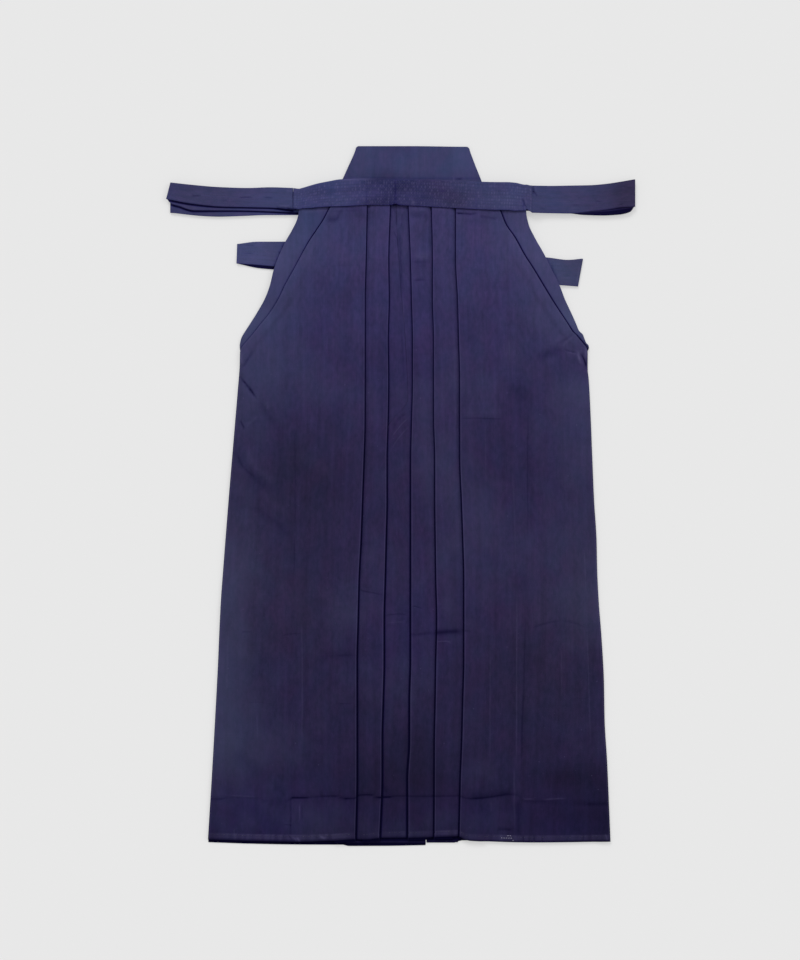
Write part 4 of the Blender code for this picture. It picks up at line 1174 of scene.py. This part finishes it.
# spots and lines of painted shade, and lighter spots, on the waistband
BandMark = namedtuple("BandMark", "x share reach_x reach_share shade wear")
BAND_MARKS = rows_of(
    BandMark,
    (-8.2, 0.45, 1.9, 0.6, 0.55, 0), (-8, 0.03, 7, 0.05, 0.85, 0), (-49, 0.2, 1.2, 0.45, 0.34, 0),
    (-16, 0.1, 1.2, 0.16, 0.3, 0), (17.3, 0.14, 2.4, 0.07, 0, 0.55), (4, 0.1, 8, 0.05, 0, 0.16),
    (108, 0.3, 1.4, 0.4, 0.16, 0), (60, 0.62, 5, 0.05, 0.28, 0), (176, 0.22, 2, 0.2, 0.4, 0),
    (-141, 0.5, 1, 0.6, 0.2, 0),
)
BandTone = namedtuple("BandTone", "x tone hue brown")
BAND_TONES = rows_of(
    BandTone,
    (-155, 0.16, -0.25, -0.25), (-108, 0.04, -0.3, -0.3), (-78, 0.05, -0.1, -0.2), (-60, -0.08, -0.1, -0.4),
    (-42, -0.34, 0, -0.6), (-6, -0.42, 0.1, -0.9), (25, -0.31, 0.3, -0.8), (58, -0.29, 0.4, -0.2),
    (90, -0.15, 0.14, 0), (125, 0.06, 0, 0), (160, 0.2, -0.15, -0.2), (188, 0.16, 0, 0),
)


def puckers(x, across, rows, seed):
    """Small upright ridges between the rows of stitches, each a little different, from 0 to 1."""
    chance = np.random.RandomState(seed)
    count = int((x.max() - x.min()) / STITCH_PITCH) + 3
    strength = chance.uniform(0.0, 1.0, (len(rows) + 1, count)) ** 1.5
    shift = chance.uniform(-0.25, 0.25, (len(rows) + 1, count))
    between = np.searchsorted(rows, across)
    place = (x - x.min()) / STITCH_PITCH + 0.5
    column = np.clip(place.astype(int), 0, count - 1)
    off = (place - column - 0.5 - shift[between, column]) * STITCH_PITCH
    edges = np.concatenate([[rows[0] - STITCH_EDGE], rows, [rows[-1] + STITCH_EDGE]])
    low, high = edges[between], edges[between + 1]
    height = np.clip((across - low) / (high - low), 0, 1)
    return strength[between, column] * bell(off, 0.75) * np.sin(np.pi * height)


def make_waistband():
    x = np.linspace(WAISTBAND[0].x, WAISTBAND[-1].x, BAND_COLUMNS)
    bottom, turn = along(WAISTBAND, "bottom", x), along(WAISTBAND, "top", x) - BAND_TURN
    front, rear = along(WAISTBAND, "front", x), along(WAISTBAND, "rear", x)
    face = np.linspace(0, 1, 36)
    radius, middle = (front - rear) / 2, (front + rear) / 2
    columns = [(blend(bottom, turn, share), front) for share in face]
    for angle in np.linspace(math.pi / 2, -math.pi / 2, 9)[1:-1]:
        columns.append((turn + BAND_TURN * math.cos(angle), middle + radius * math.sin(angle)))
    for share in np.linspace(0, 1, 8):
        columns.append((blend(turn, bottom + 2, share), rear))
    yy, zz = (np.stack(part, axis=1) for part in zip(*columns))
    xx = all_over(x, yy)

    share = (yy - bottom[:, None]) / (turn - bottom)[:, None]
    on_face = np.arange(yy.shape[1])[None, :] < len(face)
    rows = np.linspace(STITCH_EDGE, BAND_WIDTH - STITCH_EDGE, BAND_ROWS)
    ridges = puckers(xx, np.clip(share, 0, 1) * BAND_WIDTH, rows, 41) * on_face
    dips = sum(bell(share * BAND_WIDTH - row, 1.0) for row in rows) * on_face
    zz = zz + 0.12 * waves(xx, yy, 26, 21) + 0.22 * ridges - 0.11 * dips
    grid = np.stack([xx, yy, zz], axis=2)

    # painted shade in the stitched furrows and along the lower rim, painted highlight on the ridges
    shade = 0.06 * dips + 0.55 * bell(share, 0.03)
    wear = 0.66 * ridges
    for mark in BAND_MARKS:
        spot = bell(xx - mark.x, mark.reach_x) * bell(share - mark.share, mark.reach_share)
        shade, wear = shade + mark.shade * spot, wear + mark.wear * spot
    thread = np.stack([lengths(grid, 1), xx], axis=2)
    # a stretch of the top edge, at the right, gets a painted highlight
    wear = wear + 0.26 * bell(share - 1, 0.04) * np.exp(-(((xx + 63) / 24) ** 4))
    marks = {key: along(BAND_TONES, key, xx) for key in ("tone", "hue", "brown")}
    marks["tone"] = marks["tone"] + 0.12 * waves(xx, yy, 34, 22)
    marks.update(sharp_creases(xx, yy, BAND_SLOTS), shade=np.clip(shade, 0, 1), wear=wear)
    made = cloth("waistband_cloth", grid, thread, STRAP, strap_cloth, rim=0.2, **marks)
    seams = [np.stack([x, blend(bottom, turn, row / BAND_WIDTH), front - 0.16], axis=1) for row in rows]
    return made, grid, seams


waistband, band_grid, band_seams = make_waistband()
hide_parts("front_waistband")

# %% [markdown]
# ## Stitches
# The waistband and straps are quilted with rows of small stitches in thread of nearly the same colour. A
# real stitch is a short arch of thread that dives into the cloth at both ends. We make each as a tiny
# closed spindle, bent over the surface, and put all the stitches of one piece into one mesh.

# %% Sewing
SpindleRing = namedtuple("SpindleRing", "along wide lift")
SPINDLE = rows_of(
    SpindleRing, (-0.5, 0, -0.8), (-0.3, 0.8, 0.25), (0, 1, 0.6), (0.3, 0.8, 0.25), (0.5, 0, -0.8)
)
SPINDLE_SIDES = 4
UP = np.array([0.0, 0.0, 1.0])
Stitch = namedtuple("Stitch", "pitch length radius thread")


def travelled(points):
    """The distance along a line of points, counted from its start."""
    return np.concatenate([[0], np.cumsum(np.linalg.norm(np.diff(points, axis=0), axis=1))])


def spindle_faces():
    """The faces of one spindle: a point, rings of corners, and a point."""
    last = 1 + (len(SPINDLE) - 3) * SPINDLE_SIDES
    shape = []
    for n in range(SPINDLE_SIDES):
        m = (n + 1) % SPINDLE_SIDES
        shape.append((0, 1 + m, 1 + n))
        for a in range(1, last, SPINDLE_SIDES):
            shape.append((a + n, a + m, a + SPINDLE_SIDES + m, a + SPINDLE_SIDES + n))
        shape.append((last + n, last + m, last + SPINDLE_SIDES))
    return shape


def sew(name, seams, stitch, wall=STRAP):
    """Stitches along each seam, a line of points through the middle of the cloth's wall."""
    pitch, length, radius, thread = stitch
    chance = np.random.RandomState(len(seams) + int(10 * pitch))
    points = []
    for seam in seams:
        distance = travelled(seam)
        at = np.arange(pitch * 0.6, distance[-1] - pitch * 0.5, pitch)
        chance.uniform(0, 1, len(at))  # a draw for each stitch, then one for where the whole row starts
        at = at + chance.uniform(-0.08, 0.08, 1) * pitch
        start, end = (
            np.stack([np.interp(at + d, distance, axis) for axis in seam.T], axis=1) for d in (-0.4, 0.4)
        )
        ahead = end - start
        ahead /= np.maximum(np.linalg.norm(ahead, axis=1, keepdims=True), 1e-6)
        aside = np.cross(UP, ahead)
        base = (start + end) / 2 + UP * wall / 2
        corners = []
        for ring in SPINDLE:
            sides = 1 if ring.wide == 0 else SPINDLE_SIDES
            for n in range(sides):
                angle = 2 * math.pi * (n + 0.5) / sides
                out = radius * ring.wide * (math.cos(angle) * aside + math.sin(angle) * UP)
                corners.append(base + ring.along * length * ahead + out + radius * ring.lift * UP)
        points.append(np.stack(corners, axis=1))
    points = np.concatenate(points)
    count, per = points.shape[:2]
    faces = [tuple(per * k + v for v in face) for k in range(count) for face in spindle_faces()]
    made = place(name, smooth_mesh(name, points, faces, thread))
    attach(made, "root")
    print(f"{name}: {count} stitches")
    return made


band_stitches = sew("waistband_stitches", band_seams, Stitch(STITCH_PITCH, 2.5, 0.24, strap_thread))

# %% [markdown]
# The hem's edge is sewn down with one row of running stitches on each strip that shows, and a few pale
# stitches hold it where a panel seam ends, at the left. They lie on the uppermost cloth at each place.

# %% Hem stitches
HEM_SEWN = Stitch(4.4, 2.6, 0.20, hem_thread)
PALE_SEWN = Stitch(3.4, 2.5, 0.42, pale_thread)
NEARBY = 4.5  # from a stitch to the points that tell how high the cloth is there
TOP_LAYER = 0.7  # points that lie further than this below the highest are on a lower layer
HemRun = namedtuple("HemRun", "start end rise")
RIGHT_HEM_RUNS = rows_of(HemRun, (-275, -68, 0), (-56, -33, 0))
LEFT_HEM_RUNS = rows_of(HemRun, (-20, 0, 0), (11, 38, 0), (48.5, 74, 0), (84.5, 297, 0))
PALE_RUNS = rows_of(HemRun, (152, 163, 1.8), (143, 163, -1.6), (159, 164, -4.6))


def on_top(grid, x, y):
    """The height of the uppermost cloth at a place, from the grid points around it."""
    points = grid.reshape(-1, 3)
    gap = np.hypot(points[:, 0] - x, points[:, 1] - y)
    points, gap = points[gap < NEARBY], gap[gap < NEARBY]
    top = points[:, 2] > points[:, 2].max() - TOP_LAYER
    closeness = 1 / (0.3 + gap[top])
    return float((points[top, 2] * closeness).sum() / closeness.sum())


def hem_seam(grid, run):
    x = np.arange(run.start, run.end + 1, 2.0)
    y = along(FRONT_HEM, "y", x) + HEM_STITCH - 0.6 + run.rise
    return np.array([(a, b, on_top(grid, a, b)) for a, b in zip(x, y)])


def sew_hem(name, grid, runs, stitch):
    return sew(name, [hem_seam(grid, run) for run in runs], stitch, wall=CLOTH)


hem_right = sew_hem("hem_stitches_right", right_grid, RIGHT_HEM_RUNS, HEM_SEWN)
hem_left = sew_hem("hem_stitches_left", left_grid, LEFT_HEM_RUNS, HEM_SEWN)
hem_pale = sew_hem("hem_stitches_pale", left_grid, PALE_RUNS, PALE_SEWN)

# %% [markdown]
# ## The straps
# A strap is cloth folded into a flat band and stitched along its length. Each table below follows one
# strap from the waistband: two long edges, p and q, the height, and at a fold the height of the run that
# leaves it. Between folds the edges are smooth curves. At a fold the band turns half a circle. A curve
# with a flat profile could follow the same way, but it has one width all along. Two edges let a run
# widen and slant as hand-folded cloth does.

# %% Straps
Across = namedtuple("Across", "px py qx qy z up_to dx dy", defaults=(None, 0, 0))
RUN = [STRAP / 2 + STRAP_LAYER * n for n in range(4)]  # the height of each run, the lowest first
ON_BACK = [RUN[0] + LAYER, RUN[1] + LAYER]  # and where the runs lie on the cloth of a back
BAND_END = 9.4  # where a strap leaves the end of the waistband
STRAPS = {
    "front_strap_right": rows_of(
        Across,
        (-155, 411, -155, 442, BAND_END), (-188, 414.2, -188, 443.4, RUN[3]),
        (-220, 414.8, -220, 442.4, RUN[3]), (-260, 415.8, -260, 443.6, RUN[3]),
        (-302, 420.2, -300, 446.9, RUN[3]), (-336.2, 426.4, -330, 450.2, RUN[3], RUN[2], -1, 0),
        (-331, 420.2, -326, 448.4, RUN[2]), (-318, 416.4, -316.5, 445, RUN[2]),
        (-308, 412.6, -308, 442, RUN[2]), (-298, 410.6, -298, 440, RUN[2]),
        (-229, 410.2, -229, 439.4, RUN[2]), (-180, 408.7, -180, 438.3, RUN[2]),
        (-123, 406.8, -123, 436.3, RUN[2], RUN[1], 1, 0), (-150, 403.9, -150, 433.3, RUN[1]),
        (-192, 403.9, -192, 433.5, RUN[1]), (-228, 402.6, -228, 432.2, RUN[1]),
        (-262, 401.6, -262, 431, RUN[1]), (-284, 402.4, -284, 431.5, RUN[1]),
        (-330.5, 407.2, -330.5, 435, RUN[1], RUN[0], -1, 0), (-284, 404, -284, 432.5, RUN[0]),
        (-125, 407.3, -125, 436.3, RUN[0]),
    ),
    "front_strap_left": rows_of(
        Across,
        (188, 406.4, 188, 445.4, BAND_END), (216, 406.1, 216, 445.4, RUN[3]),
        (240, 405.7, 240, 445.8, RUN[3]), (272, 408.8, 272, 446.4, RUN[3]),
        (297, 411.6, 297, 448.6, RUN[3]), (318, 414.7, 318, 451.8, RUN[3]),
        (335.1, 415.4, 335.1, 454.8, RUN[3], RUN[2], 1, 0), (330, 408.4, 330, 449.9, RUN[2]),
        (314, 404.3, 316, 446.8, RUN[2]), (290, 403, 290, 445.4, RUN[2]), (262, 403.8, 262, 445.4, RUN[2]),
        (244, 405.9, 244, 445.4, RUN[2]), (204, 407.4, 204, 445.4, RUN[2]),
        (188, 409.4, 188, 445.4, RUN[2]), (155, 411, 155, 445.4, RUN[2], RUN[1], -1, 0),
        (188, 409.8, 188, 445.4, RUN[1]), (240, 406.8, 240, 445.4, RUN[1]),
        (329, 411.6, 329, 450.4, RUN[1], RUN[0], 1, 0), (240, 407.2, 240, 445.4, RUN[0]),
        (188, 410, 188, 445.4, RUN[0]), (157, 411.6, 157, 445.4, RUN[0]),
    ),
    "back_strap_right": rows_of(
        Across,
        (-104, 418.4, -64, 418.4, ON_BACK[0]), (-104, 370, -64, 392, ON_BACK[0]),
        (-104, 326, -64, 366, ON_BACK[0], ON_BACK[1], 1, -1), (-150, 327.5, -130, 366, ON_BACK[1]),
        (-174, 329.2, -172, 365.5, ON_BACK[1]), (-206, 332.2, -206, 365.6, RUN[1]),
        (-235.2, 334.2, -234.2, 362.4, RUN[1], RUN[0], -1, 0), (-206, 327.8, -206, 362.5, RUN[0]),
        (-190, 326.2, -190, 362.5, RUN[0]), (-174, 325.2, -174, 363, ON_BACK[0]),
        (-112, 325, -112, 364, ON_BACK[0]),
    ),
    "back_strap_left": rows_of(
        Across,
        (126, 418.4, 86, 418.4, ON_BACK[0]), (126, 362, 86, 384, ON_BACK[0]),
        (126, 309, 86, 349, ON_BACK[0], ON_BACK[1], -1, -1), (160, 307, 150, 347, ON_BACK[1]),
        (219, 303.6, 212, 342.6, ON_BACK[1]), (238, 302.5, 240, 339.4, RUN[1]),
        (253.2, 301.4, 260.4, 341.2, RUN[1], RUN[0], 1, -0.19), (238, 302.6, 242, 339.2, RUN[0]),
        (219, 303.9, 219, 341, ON_BACK[0]), (134, 309, 134, 348, ON_BACK[0]),
    ),
}
Strip = namedtuple("Strip", "x tone hue brown core")
STRAP_TONES = {  # along each strap; core is how wide the painted shadow is that an upper run casts
    "front_strap_right": rows_of(
        Strip,
        (-336, -0.06, 0, 0, 2.6), (-300, -0.02, 0.24, 0.5, 2.6), (-262, 0.02, 0.2, 0.5, 1.8),
        (-228, 0.16, 0.12, 0, 1.6), (-190, 0.3, 0.1, -0.2, 1.8), (-172, 0.32, -0.25, -0.2, 2.2),
        (-155, 0.3, -0.3, -0.2, 2.8),
    ),
    "front_strap_left": rows_of(
        Strip,
        (188, 0.12, -0.12, 0, 1.5), (215, 0.11, -0.1, 0, 1.5), (250, 0.03, 0.04, 0.4, 2.5),
        (280, -0.08, 0.24, 0.4, 7), (300, -0.17, 0.56, 0.6, 12), (324, -0.33, 1, 0.9, 12),
        (336, -0.3, 1, 0.9, 12),
    ),
    "back_strap_right": rows_of(
        Strip,
        (-236, 0.52, 0, -0.4, 9), (-210, 0.66, 0, -0.4, 9), (-180, 0.34, 0.05, 0, 9), (-100, 0, 0, 0, 9),
    ),
    "back_strap_left": rows_of(
        Strip,
        (90, 0, 0, 0, 1.5), (214, 0.34, 0, 0.2, 1.5), (240, 0.2, 0, 0.9, 1.5), (261, 0.04, 0.1, 0.9, 1.5),
    ),
}
# x and y of the middle layer's edge, a lighter line in the painted shade of the left front strap's open end
MOUTH = (262, 270, 300, 328, 335), (407.4, 408.2, 410.4, 414.2, 415)
STEP = 3.5  # between points along a strap
# where the points lie across it, from p to q: closest together near p, where dark lines run
STRAP_SHARES = np.concatenate([[0, 0.02], np.arange(0.05, 0.36, 0.025), np.linspace(0.4, 0.95, 8), [0.98, 1]])


def run_points(sections):
    """Both edges along one run between folds, as an array of (px, py, qx, qy, z)."""
    ends = np.array([[s.px, s.py, s.qx, s.qy, s.z] for s in sections])
    distance = travelled((ends[:, 0:2] + ends[:, 2:4]) / 2)
    at = np.linspace(0, distance[-1], max(3, int(distance[-1] / STEP)))
    return np.stack([through(distance, ends[:, k], at) for k in range(5)], axis=1)


def strap_runs(sections):
    """The points of every run of a strap, and the fold at the end of each run but the last."""
    runs, folds, run = [], [], []
    for s in sections:
        run.append(s)
        if s.up_to is not None:
            runs.append(run_points(run))
            folds.append(s)
            run = [Across(s.px, s.py, s.qx, s.qy, s.up_to)]
    return runs + [run_points(run)], folds


def around_fold(s):
    """Both edges on their way round a fold, half a circle out of the section and back."""
    length = math.hypot(s.dx, s.dy)
    radius = abs(s.up_to - s.z) / 2
    turn = []
    for angle in np.linspace(-math.pi / 2, math.pi / 2, 9)[1:-1]:
        out = radius * math.cos(angle)
        x, y = out * s.dx / length, out * s.dy / length
        z = blend(s.z, s.up_to, (1 + math.sin(angle)) / 2)
        turn.append([s.px + x, s.py + y, s.qx + x, s.qy + y, z])
    return np.array(turn)


def strap_edges(sections):
    """Both edges along a whole strap, round its folds."""
    runs, folds = strap_runs(sections)
    pieces = [piece for run, s in zip(runs, folds) for piece in (run, around_fold(s))]
    return np.concatenate(pieces + runs[-1:])


def strap_shade(name, x, y, z):
    """The painted shadow that an upper run casts on the run below it."""
    core = along(STRAP_TONES[name], "core", x)
    shade = np.zeros_like(x)
    for upper in strap_runs(STRAPS[name])[0][:-1]:
        order = np.argsort(upper[:, 0])
        edge = np.interp(x, upper[order, 0], upper[order, 1], left=-1e3, right=-1e3)
        below = z < np.interp(x, upper[order, 0], upper[order, 4]) - STRAP_LAYER / 2
        beyond = edge - y
        line = bell(np.maximum(beyond - core, 0), LINE_FADE) * ease(beyond + 0.5)
        shade = np.maximum(shade, 0.95 * line * below)
    # a lighter line, the middle layer's edge, inside the painted shade of the open end
    if name == "front_strap_left":
        shade = shade - 0.45 * bell(np.interp(x, *MOUTH) - y, 0.7) * (shade > 0.5)
    return shade


def make_strap(name, sections):
    edges = strap_edges(sections)
    px, py, qx, qy, z = (edges[:, k : k + 1] for k in range(5))
    share = STRAP_SHARES[None, :]
    x, y, z = blend(px, qx, share), blend(py, qy, share), z + 0 * share
    grid = np.stack([x, y, z], axis=2)
    thread = np.stack([lengths(grid, 1), lengths(grid, 0)], axis=2)
    marks = {column: along(STRAP_TONES[name], column, x) for column in ("tone", "hue", "brown")}
    marks["tone"] = marks["tone"] + 0.05 * waves(x, y, 40, 31)
    marks.update(sharp_creases(x, y, BAND_SLOTS))
    shade = strap_shade(name, x, y, z) if name != "back_strap_left" else 0 * x
    # painted shade where a back strap meets the side of the body
    if name.startswith("back"):
        sides = RIGHT_SIDE if "right" in name else LEFT_SIDE
        gap = np.abs(x) - np.abs(along(sides, "edge", y))
        depth = 0.95 if "right" in name else 0.5
        shade = np.maximum(shade, depth * np.exp(-np.maximum(gap, 0) / 1.4) * (gap > -4))
    # painted shade along both rims, more along the lower one
    low_rim = 0.5 * bell(share, 0.03) + 0.25 * bell(1 - share, 0.02)
    marks["shade"] = np.clip(np.maximum(shade, low_rim + 0 * x), 0, 1)
    made = cloth(name + "_cloth", grid, thread, STRAP, strap_cloth, rim=0.2, **marks)
    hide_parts(name)
    return made, grid


strap_made = {name: make_strap(name, rows) for name, rows in STRAPS.items()}

# %% [markdown]
# The straps are sewn through in rows too, in thread of their own colour, so the rows only show close up.

# %% Strap stitches
STRAP_ROWS = (0.08, 0.25, 0.42, 0.58, 0.75, 0.92)  # shares of a strap's width
STRAP_SEWN = Stitch(STITCH_PITCH, 2.5, 0.20, strap_thread)


def strap_seams(name, run):
    """The rows along one run of a strap, between two of its folds."""
    px, py, qx, qy, z = strap_runs(STRAPS[name])[0][run].T
    rows = [np.stack([blend(px, qx, k), blend(py, qy, k), z], axis=1) for k in STRAP_ROWS]
    return [row if row[0, 0] < row[-1, 0] else row[::-1] for row in rows]


SHOWN_RUN = {"front_strap_right": 0, "front_strap_left": 0, "back_strap_right": 1, "back_strap_left": 1}
strap_sewn = {
    name: sew(name + "_stitches", strap_seams(name, run), STRAP_SEWN) for name, run in SHOWN_RUN.items()
}

# %% [markdown]
# ## The back board
# The back board is a stiff trapezoid covered with cloth. Its cover is drawn tight, so the faces are
# almost flat, the rims are round and the upper corners are small curves. A bevelled box would have the
# shape. A grid with a thick wall has it too, and carries the threads and marks of the other cloths.

# %% Back board
BoardEdge = namedtuple("BoardEdge", "y left right")
BOARD_EDGES = rows_of(
    BoardEdge,
    (418.7, -105, 126), (436, -95, 121.4), (453, -85.4, 115.8), (475, -75.2, 107.2), (490, -68.4, 101.6),
    (497.5, -65.4, 98.8),
)
BOARD_CORNER = 5.0
BOARD_TOP = 503.0
BOARD = 3.5


def make_board():
    flank = np.linspace(BOARD_EDGES[0].y, BOARD_TOP - BOARD_CORNER, 26)
    corner = BOARD_TOP - BOARD_CORNER + BOARD_CORNER * np.sin(np.linspace(0, math.pi / 2, 8)[1:])
    y = np.concatenate([flank, corner])
    into = np.clip((y - (BOARD_TOP - BOARD_CORNER)) / BOARD_CORNER, 0, 1)
    pull = BOARD_CORNER * (1 - np.sqrt(1 - into**2))
    left = along(BOARD_EDGES, "left", y) + pull
    right = along(BOARD_EDGES, "right", y) - pull
    x = blend(left[:, None], right[:, None], np.linspace(0, 1, 64)[None, :])
    # the top edge sinks a little towards the left corner
    droop = 0.9 * ease((x - 15) / 80) * ease((y[:, None] - 440) / 60)
    yy = y[:, None] - droop
    grid = np.stack([x, yy, np.full_like(x, BOARD / 2)], axis=2)
    thread = grid[:, :, :2]
    marks = sharp_creases(x, yy, BAND_SLOTS)
    marks["tone"] = 0.10 * waves(x, yy, 50, 51) - 0.10 * bell(yy - 462, 6) + 0.04
    marks["tone"] = marks["tone"] + 0.14 * ease(x / 90) - 0.10 * bell(x + 15, 22)
    marks["hue"] = np.clip(0.25 * waves(x, yy, 60, 52), 0, 1)
    # a line of painted shade where the board meets the waistband's top edge
    marks["shade"] = 0.30 * bell(yy - 456.5, 1.4)
    made = cloth("back_board_cloth", grid, thread, BOARD, board_cloth, rim=0.28, **marks)
    made.modifiers["rims"].segments = 4
    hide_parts("back_board")
    return made, grid


board, board_grid = make_board()

# %% [markdown]
# ## Stage
# A plain pale floor, soft light from above and from beyond the back board, and a camera straight above
# the garment with a long lens. A white studio floor is lit so strongly from all round that cloth lying
# on it casts hardly any shadow. Many lamps could do that. Here the floor gives off part of its own
# light instead, which keeps the lamps that model the creases as they are.

# %% Floor, light and camera
PIXEL = 1.44  # millimetres of the garment for each pixel of an 800 x 960 render
IMAGE_WIDTH = 800
VIEW_CENTRE = (-1.44, 22.7)
CAMERA_HEIGHT = 3.2
FLOOR_SIZE, FLOOR_LEVEL = 12.0, -0.0005  # metres; just below the cloth, so that no faces coincide
FLOOR_GREY, FLOOR_GLOW = (0.36, 0.36, 0.36, 1), (0.436, 0.436, 0.436, 1)
SKY_STRENGTH = 0.55

bpy.ops.mesh.primitive_plane_add(size=FLOOR_SIZE, location=(0, 0, FLOOR_LEVEL))
floor = bpy.context.object
floor.name = "floor"
floor_finish = Finish("floor_finish")
floor_finish.set(Base_Color=FLOOR_GREY, Roughness=0.9, Specular_IOR_Level=0.0)
floor_finish.set(Emission_Color=FLOOR_GLOW, Emission_Strength=1.0)
floor.data.materials.append(floor_finish.material)

world = bpy.data.worlds.new("studio")
bpy.context.scene.world = world
world.use_nodes = True
sky = world.node_tree.nodes["Background"].inputs
sky["Color"].default_value = (1.0, 1.0, 1.0, 1)
sky["Strength"].default_value = SKY_STRENGTH


def add_sun(name, towards, strength, softness):
    """A soft light that comes from that direction. softness is how wide it looks, in degrees."""
    light = bpy.data.lights.new(name, "SUN")
    light.energy = strength
    light.angle = math.radians(softness)
    x, y, z = towards
    place(name, light).rotation_euler = (math.atan2(math.hypot(x, y), z), 0, math.atan2(y, x) + math.pi / 2)


add_sun("key_light", (-0.35, 1.0, 0.9), strength=1.6, softness=25)
add_sun("side_light", (1.0, 0.35, 1.0), strength=0.7, softness=35)

camera = bpy.data.cameras.new("camera")
camera.sensor_fit = "HORIZONTAL"
camera.sensor_width = 36.0
camera.lens = camera.sensor_width * CAMERA_HEIGHT / (IMAGE_WIDTH * PIXEL * MM)
camera_object = place("camera", camera)
camera_object.location = (VIEW_CENTRE[0] * MM, VIEW_CENTRE[1] * MM, CAMERA_HEIGHT)
bpy.context.scene.camera = camera_object
bpy.context.scene.view_settings.view_transform = "Standard"
print("camera lens", round(camera.lens, 1), "mm")

# %% Sheets


def declare(made, grid):
    """The cloth isn't stretched, so its flat size and area are those measured along its own grid."""
    across, down = lengths(grid, 1)[:, -1].max(), lengths(grid, 0)[-1].max()
    sides = np.diff(grid, axis=1)[:-1], np.diff(grid, axis=0)[:, :-1]
    area = np.linalg.norm(np.cross(*sides), axis=2).sum()
    area = min(area, across * down)
    print(f"{made.name}: {across:.0f} x {down:.0f} mm flat, {area / 1e6:.3f} square metres")


declare(front_right, right_grid)
declare(front_left, left_grid)
declare(strip_right, strip_right_grid)
declare(strip_left, strip_left_grid)
declare(back_right, back_right_grid)
declare(back_left, back_left_grid)
declare(waistband, band_grid)
declare(board, board_grid)
for name, (made, grid) in strap_made.items():
    declare(made, grid)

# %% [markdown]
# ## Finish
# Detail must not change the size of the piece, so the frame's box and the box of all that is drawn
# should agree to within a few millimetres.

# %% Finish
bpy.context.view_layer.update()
